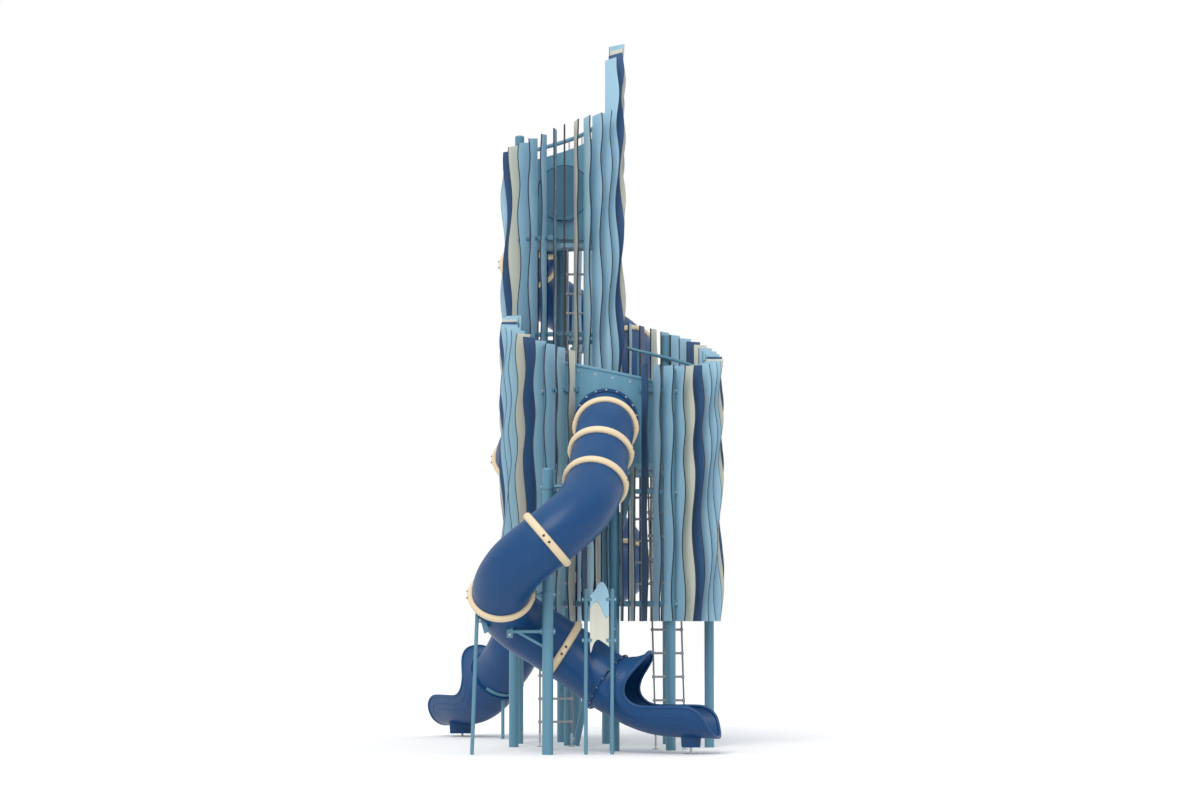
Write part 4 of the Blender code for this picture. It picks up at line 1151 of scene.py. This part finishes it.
def front_bracket(shape, foot):
    start = at_level(foot, 1.53)
    tip = start - Vector((0.46, 0, 0))
    shape.rod(start - Vector((0.05, 0, 0)), tip, ARM_R)
    shape.rod(start - Vector((0.03, 0, 0.20)), start - Vector((0.37, 0, 0.01)), BRACE_R)
    clamp(shape, foot, SLIDE_POST_R, start.z - CLAMP_HALF_HIGH)
    end_plate = tip + Vector((-0.015, 0, 0.02))
    shape.block(end_plate, Vector((0.038, 0, 0)), Vector((0, 0.020, 0)), Vector((0, 0, 0.10)))
    for up in (-0.06, 0.04):
        shape.bolt(end_plate + Vector((0, -0.020, up)), TO_VIEWER, 0.010, 1)


slide_post("front_slide_column", "front_slide_post", place(-0.805, -2.40), FRONT_LINE, (6, 10, 14),
           front_bracket)
slide_post("rear_slide_column", "rear_slide_post", place(*TURN_MIDDLE), REAR_LINE, (13, 22, 30))

# %% Thin posts under the slides
PROP_Y = -2.40
prop = Shape()
prop.rod(place(-1.748, PROP_Y, 0.0), place(-1.686, PROP_Y, 1.80), THIN_POST_R)
prop.block(place(-1.635, PROP_Y, 1.67), Vector((0.050, 0, 0)), Vector((0, 0.012, 0)), Vector((0, 0, 0.030)))
prop.block(place(-1.590, PROP_Y, 1.60), Vector((0.030, 0, 0.012)), Vector((0, 0.026, 0)),
           Vector((-0.022, 0, 0.085)))
prop.bolt(place(-1.650, PROP_Y - 0.012, 1.67), TO_VIEWER, 0.010, 1)
prop.make("front_slide_thin_post", [TEAL, ZINC], ["front_slide_prop"])

prop_at = middle_of("rear_slide_prop")
prop = Shape()
prop.rod(at_level(prop_at, 0), at_level(prop_at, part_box("rear_slide_prop")[1].z), THIN_POST_R)
saddle(prop, REAR_LINE[-2], 222, 318)
prop.make("rear_slide_thin_post", [TEAL], ["rear_slide_prop"])

# %% [markdown]
# ## Rope ladders
# Two ropes with plastic rungs. Every rung ends in knobs that grip the ropes. On the ground, each rope
# ends in a turnbuckle over a round plate. Higher up, the ladder is tied to a floor or a bar.


# %% Ladders
ROPE_R, RUNG_R = 0.012, 0.0155
KNOB_R, KNOB_HALF = 0.024, Vector((0.022, 0, 0))
GROUND_FITTINGS = ((0.0, 0.012, 0.045), (0.012, 0.06, 0.008), (0.05, 0.18, 0.014))
ROPE_FROM = 0.16


def ladder(name, node, foot, top, width, first, step, rungs):
    """first is the lowest rung's height above the ground. A fitting is a start, an end and a radius."""
    foot, top = place(*foot), place(*top)
    half = Vector((width / 2, 0, 0))
    on_ground = foot.z < 0.01
    piece = Shape()
    for side in (-half, half):
        piece.rod(foot + side + Vector((0, 0, ROPE_FROM if on_ground else 0.0)), top + side, ROPE_R)
        for low, high, radius in GROUND_FITTINGS if on_ground else ():
            piece.rod(foot + side + Vector((0, 0, low)), foot + side + Vector((0, 0, high)), radius, 2)
    for i in range(rungs):
        z = first + step * i
        centre = foot + (top - foot) * ((z - foot.z) / (top.z - foot.z))
        piece.rod(centre - half * 1.02, centre + half * 1.02, RUNG_R, 1)
        for side in (-half, half):
            piece.rod(centre + side - KNOB_HALF, centre + side + KNOB_HALF, KNOB_R, 1, soft=0.35)
    piece.make(name, [ROPE, RUNG, ZINC], [node] if node else [])


CROSS_BAR_Y, CROSS_BAR_HIGH = 0.30, 1.88
ladder("right_rope_ladder", "front_right_ladder", (0.76, -0.76, 0.0), (0.66, -0.76, UNDER_DECK), 0.38, 0.33,
       0.305, 11)
ladder("left_rope_ladder", "rear_left_ladder", (-0.74, 0.10, 0.0), (-0.74, 0.10, UNDER_DECK), 0.42, 0.33,
       0.305, 11)
ladder("inner_rope_ladder", None, (0.448, CROSS_BAR_Y, CROSS_BAR_HIGH),
       (0.448, CROSS_BAR_Y, UNDER_DECK), 0.274, 2.158, 0.288, 5)
ladder("tower_rope_ladder", "tall_ladder", (-0.48, 1.30, MAIN_FLOOR),
       (-0.48, 1.30, UPPER_FLOOR - FLOOR_THICK), 0.24, 4.0, 0.27, 10)

# %% [markdown]
# ## The play panel
# Two flat boards with wavy outlines hang between two posts: a light blue one over a tan one, with a
# wave-shaped seam between them. Each outline is a smooth curve through a few points, extruded by
# the board's thickness.

# %% The play panel
PANEL_Y = -2.33
PANEL_RIGHT, PANEL_LEFT = -0.040, -0.279
SEAM = ((PANEL_LEFT, 1.816), (-0.245, 1.868), (-0.203, 1.904), (-0.160, 1.868), (-0.115, 1.765),
        (-0.070, 1.703), (PANEL_RIGHT, 1.735))
BLUE_TOP = ((PANEL_RIGHT, 1.985), (-0.052, 2.045), (-0.080, 2.105), (-0.123, 2.150), (-0.172, 2.128),
            (-0.212, 2.058), (-0.250, 2.008), (PANEL_LEFT, 1.990))
TAN_FOOT = ((PANEL_RIGHT, 1.339), (-0.100, 1.385), (-0.178, 1.427), (-0.232, 1.375), (-0.268, 1.264),
            (PANEL_LEFT, 1.330))
SEAM_GAP = 0.0012
PLATE_HALF_THICK, PLATE_CHAMFER = 0.008, 0.002


def flat_curve(points):
    return [(p.x, p.y) for p, way in curve([Vector((x, z, 0)) for x, z in points], 6)]


def plate(name, node, outline, look):
    thick, c = PLATE_HALF_THICK, PLATE_CHAMFER
    piece = Shape()
    middle = Vector((sum(x for x, z in outline), sum(z for x, z in outline), 0)) / len(outline)
    rings = []
    for depth, inset in ((-thick, c), (-thick + c, 0.0), (thick - c, 0.0), (thick, c)):
        ring = []
        for x, z in outline:
            way = (middle - Vector((x, z, 0))).normalized() * inset
            ring.append(place(x + way.x, PANEL_Y + depth, z + way.y))
        rings.append(piece.ring(ring))
    for a, b in zip(rings, rings[1:]):
        piece.join(b, a, 1)
    piece.face(rings[0], 0)
    piece.face(reversed(rings[-1]), 0)
    piece.make(name, [look, EDGE], [node])


seam = flat_curve(SEAM)
plate("wave_board_blue", "wave_panel_blue", seam + flat_curve(BLUE_TOP), LIGHT_BLUE)
tan_top = [(x, z - SEAM_GAP) for x, z in seam]
plate("wave_board_tan", "wave_panel_tan", tan_top + flat_curve(TAN_FOOT), TAN)

LEFT_POST_X, RIGHT_POST_X = -0.329, 0.0
BAND_HALF_HIGH = 0.025
right_column = Shape()
turned_post(right_column, place(RIGHT_POST_X, PANEL_Y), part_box("wave_post_left")[1].z - CAP_HIGH, THIN_POST_R)
tower_post = middle_of("short_post_front")
right_column.rod(place(RIGHT_POST_X, PANEL_Y, 1.56), Vector((tower_post.x, tower_post.y - 0.06, 1.56)), 0.018)
for x, inwards in ((RIGHT_POST_X, -0.045), (LEFT_POST_X, 0.045)):
    for z in (1.93, 1.42):
        clamp(right_column, place(x, PANEL_Y), THIN_POST_R, z - BAND_HALF_HIGH, 2 * BAND_HALF_HIGH)
        right_column.block(place(x + inwards, PANEL_Y - 0.010, z), Vector((0.030, 0, 0)),
                           Vector((0, 0.004, 0)), Vector((0, 0, 0.020)))
right_column.make("wave_column_right", [TEAL, ZINC], ["wave_post_right"])

# %% [markdown]
# ## Rails, struts and floors
# The last steel parts are a rail along the back of the short tower, the struts that lean under the
# floor, and the bar that the inner ladder is tied to. The floors are the CAD's own solids with a
# coated, slightly rough finish.

# %% Rails, struts and floors
RAIL_START, RAIL_TURN, RAIL_RING = 100.0, 70.0, 1.200
RAIL_LOW, RAIL_CLIMB = 5.02, 0.38
RAIL_POST_R, RAIL_PLATE_R = 0.018, 0.045


def at_rail(t):
    return on_ring(RAIL_START + RAIL_TURN * t, RAIL_RING, RAIL_LOW + RAIL_CLIMB * t)


back_rail = Shape()
bar(back_rail, [at_rail(i / 36) for i in range(37)], RAIL_R)
for angle in (110.0, 162.0):
    head = at_rail((angle - RAIL_START) / RAIL_TURN)
    foot = at_level(head, MAIN_FLOOR + 0.001)
    back_rail.rod(foot, head, RAIL_POST_R)
    back_rail.rod(foot, at_level(head, MAIN_FLOOR + 0.013), RAIL_PLATE_R)
back_rail.make("back_rail", [TEAL], ["short_back_rail"])

reach = sqrt(SHORT_IN ** 2 - CROSS_BAR_Y ** 2) - 0.012
BARS = (
    ("right_leaning_strut", (0.80, -0.05, 0.0), (0.63, -0.05, UNDER_DECK), 0.050, 0.02, ["leaning_strut"]),
    ("left_leaning_strut", (-0.474, 0.30, 0.010), (0.27, 0.30, UNDER_DECK), 0.047, 0.02, []),
    ("ladder_cross_bar", (-reach, CROSS_BAR_Y, CROSS_BAR_HIGH), (reach, CROSS_BAR_Y, CROSS_BAR_HIGH),
     0.020, 0.12, []),
)
for name, start, end, radius, soft, nodes in BARS:
    piece = Shape()
    piece.rod(place(*start), place(*end), radius, soft=soft)
    piece.make(name, [TEAL], nodes)

for node in ("main_deck", "tall_deck"):
    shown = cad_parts[node]
    shown.data.materials.clear()
    shown.data.materials.append(DECK)

# %% [markdown]
# ## Feet under the open ends
# A short moulded block hangs under each open end and stands on a threaded pin with a round plate,
# so that it can be set to the ground.

# %% Feet
FOOT_HALF_DEEP, FOOT_CHAMFER = 0.11, 0.012
PIN_R, PLATE_R = 0.016, 0.095


def exit_foot(name, node, half_wide, bottom, aside=0.0):
    middle = middle_of(node) + Vector((aside, 0, 0))
    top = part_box(node)[1].z
    foot = Shape()
    rings = []
    for z, k in ((bottom, 0.90), (bottom + 0.008, 0.94), (top - 0.01, 1.0), (top, 1.0)):
        x, y, c = half_wide * k, FOOT_HALF_DEEP * k, FOOT_CHAMFER
        outline = ((x - c, -y), (x, -y + c), (x, y - c), (x - c, y), (-x + c, y), (-x, y - c), (-x, -y + c),
                   (-x + c, -y))
        rings.append([Vector((middle.x + a, middle.y + b, z)) for a, b in outline])
    foot.skin(rings)
    for s in (-0.5, 0.5):
        bolt_at = at_level(middle, bottom + 0.06) + Vector((s * half_wide, 0.002 - FOOT_HALF_DEEP, 0))
        foot.bolt(bolt_at, TO_VIEWER, 0.008, 2)
    foot.rod(at_level(middle, 0.008), at_level(middle, bottom + 0.02), PIN_R, 1)
    foot.rod(at_level(middle, 0.0), at_level(middle, 0.010), PLATE_R, 1)
    foot.make(name, [SLIDE, ZINC, DARK_BOLT], [node])


exit_foot("front_open_end_foot", "front_exit_foot", 0.125, 0.085, 0.07)
exit_foot("rear_open_end_foot", "rear_exit_foot", 0.185, 0.045)

# %% [markdown]
# ## The stage
# A plain pale floor, a bright even sky and one broad lamp from the front, as on an overcast day
# that is about to clear. The camera stands far away at eye height and tilts up a little. From so
# far the posts stay nearly upright, so the lens needs no shift to frame the towers.

# %% Floor, light and camera
VIEW_ASIDE, VIEW_DISTANCE, EYE_HEIGHT, TILT = -0.153, 41.324, 1.631, 4.110
FLOOR_HALF, FLOOR_HALF_THICK = 60.0, 0.05
floor_shape = Shape()
floor_shape.block(Vector((0, 0, -FLOOR_HALF_THICK)), Vector((FLOOR_HALF, 0, 0)), Vector((0, FLOOR_HALF, 0)),
                  Vector((0, 0, FLOOR_HALF_THICK)))
floor_mesh = bpy.data.meshes.new("floor")
floor_mesh.from_pydata(floor_shape.points, [], floor_shape.faces)
pale = bpy.data.materials.new("pale floor")
pale.use_nodes = True
pale_shader = pale.node_tree.nodes["Principled BSDF"]
pale_shader.inputs["Base Color"].default_value = (0.95, 0.95, 0.95, 1)
pale_shader.inputs["Roughness"].default_value = 0.9
floor_mesh.materials.append(pale)
ground = bpy.data.objects.new("floor", floor_mesh)
bpy.context.scene.collection.objects.link(ground)

sky = bpy.data.worlds.new("studio sky")
sky.use_nodes = True
bpy.context.scene.world = sky
tree = sky.node_tree
glow = tree.nodes["Background"]
glow.inputs["Color"].default_value = (0.93, 0.96, 1.0, 1)
glow.inputs["Strength"].default_value = 0.90
white = tree.nodes.new("ShaderNodeBackground")
white.inputs["Color"].default_value = (1, 1, 1, 1)
rays = tree.nodes.new("ShaderNodeLightPath")
choose = tree.nodes.new("ShaderNodeMixShader")
tree.links.new(rays.outputs["Is Camera Ray"], choose.inputs["Fac"])
tree.links.new(glow.outputs["Background"], choose.inputs[1])
tree.links.new(white.outputs["Background"], choose.inputs[2])
tree.links.new(choose.outputs["Shader"], tree.nodes["World Output"].inputs["Surface"])

lamp = bpy.data.lights.new("soft lamp", "SUN")
lamp.energy = 1.75
lamp.angle = radians(35)
lamp.color = (1.0, 0.96, 0.90)
lamp_object = bpy.data.objects.new("soft lamp", lamp)
bpy.context.scene.collection.objects.link(lamp_object)
lamp_object.rotation_euler = Vector((0.22, 0.85, -0.82)).to_track_quat("-Z", "Y").to_euler()

lens = bpy.data.cameras.new("camera")
lens.lens = 93.27
lens.sensor_width = 36.0
lens.clip_end = 200.0
camera = bpy.data.objects.new("camera", lens)
bpy.context.scene.collection.objects.link(camera)
camera.location = place(VIEW_ASIDE, -VIEW_DISTANCE, EYE_HEIGHT)
camera.rotation_euler = (radians(90 + TILT), 0, 0)
bpy.context.scene.camera = camera
bpy.context.scene.view_settings.view_transform = "Standard"
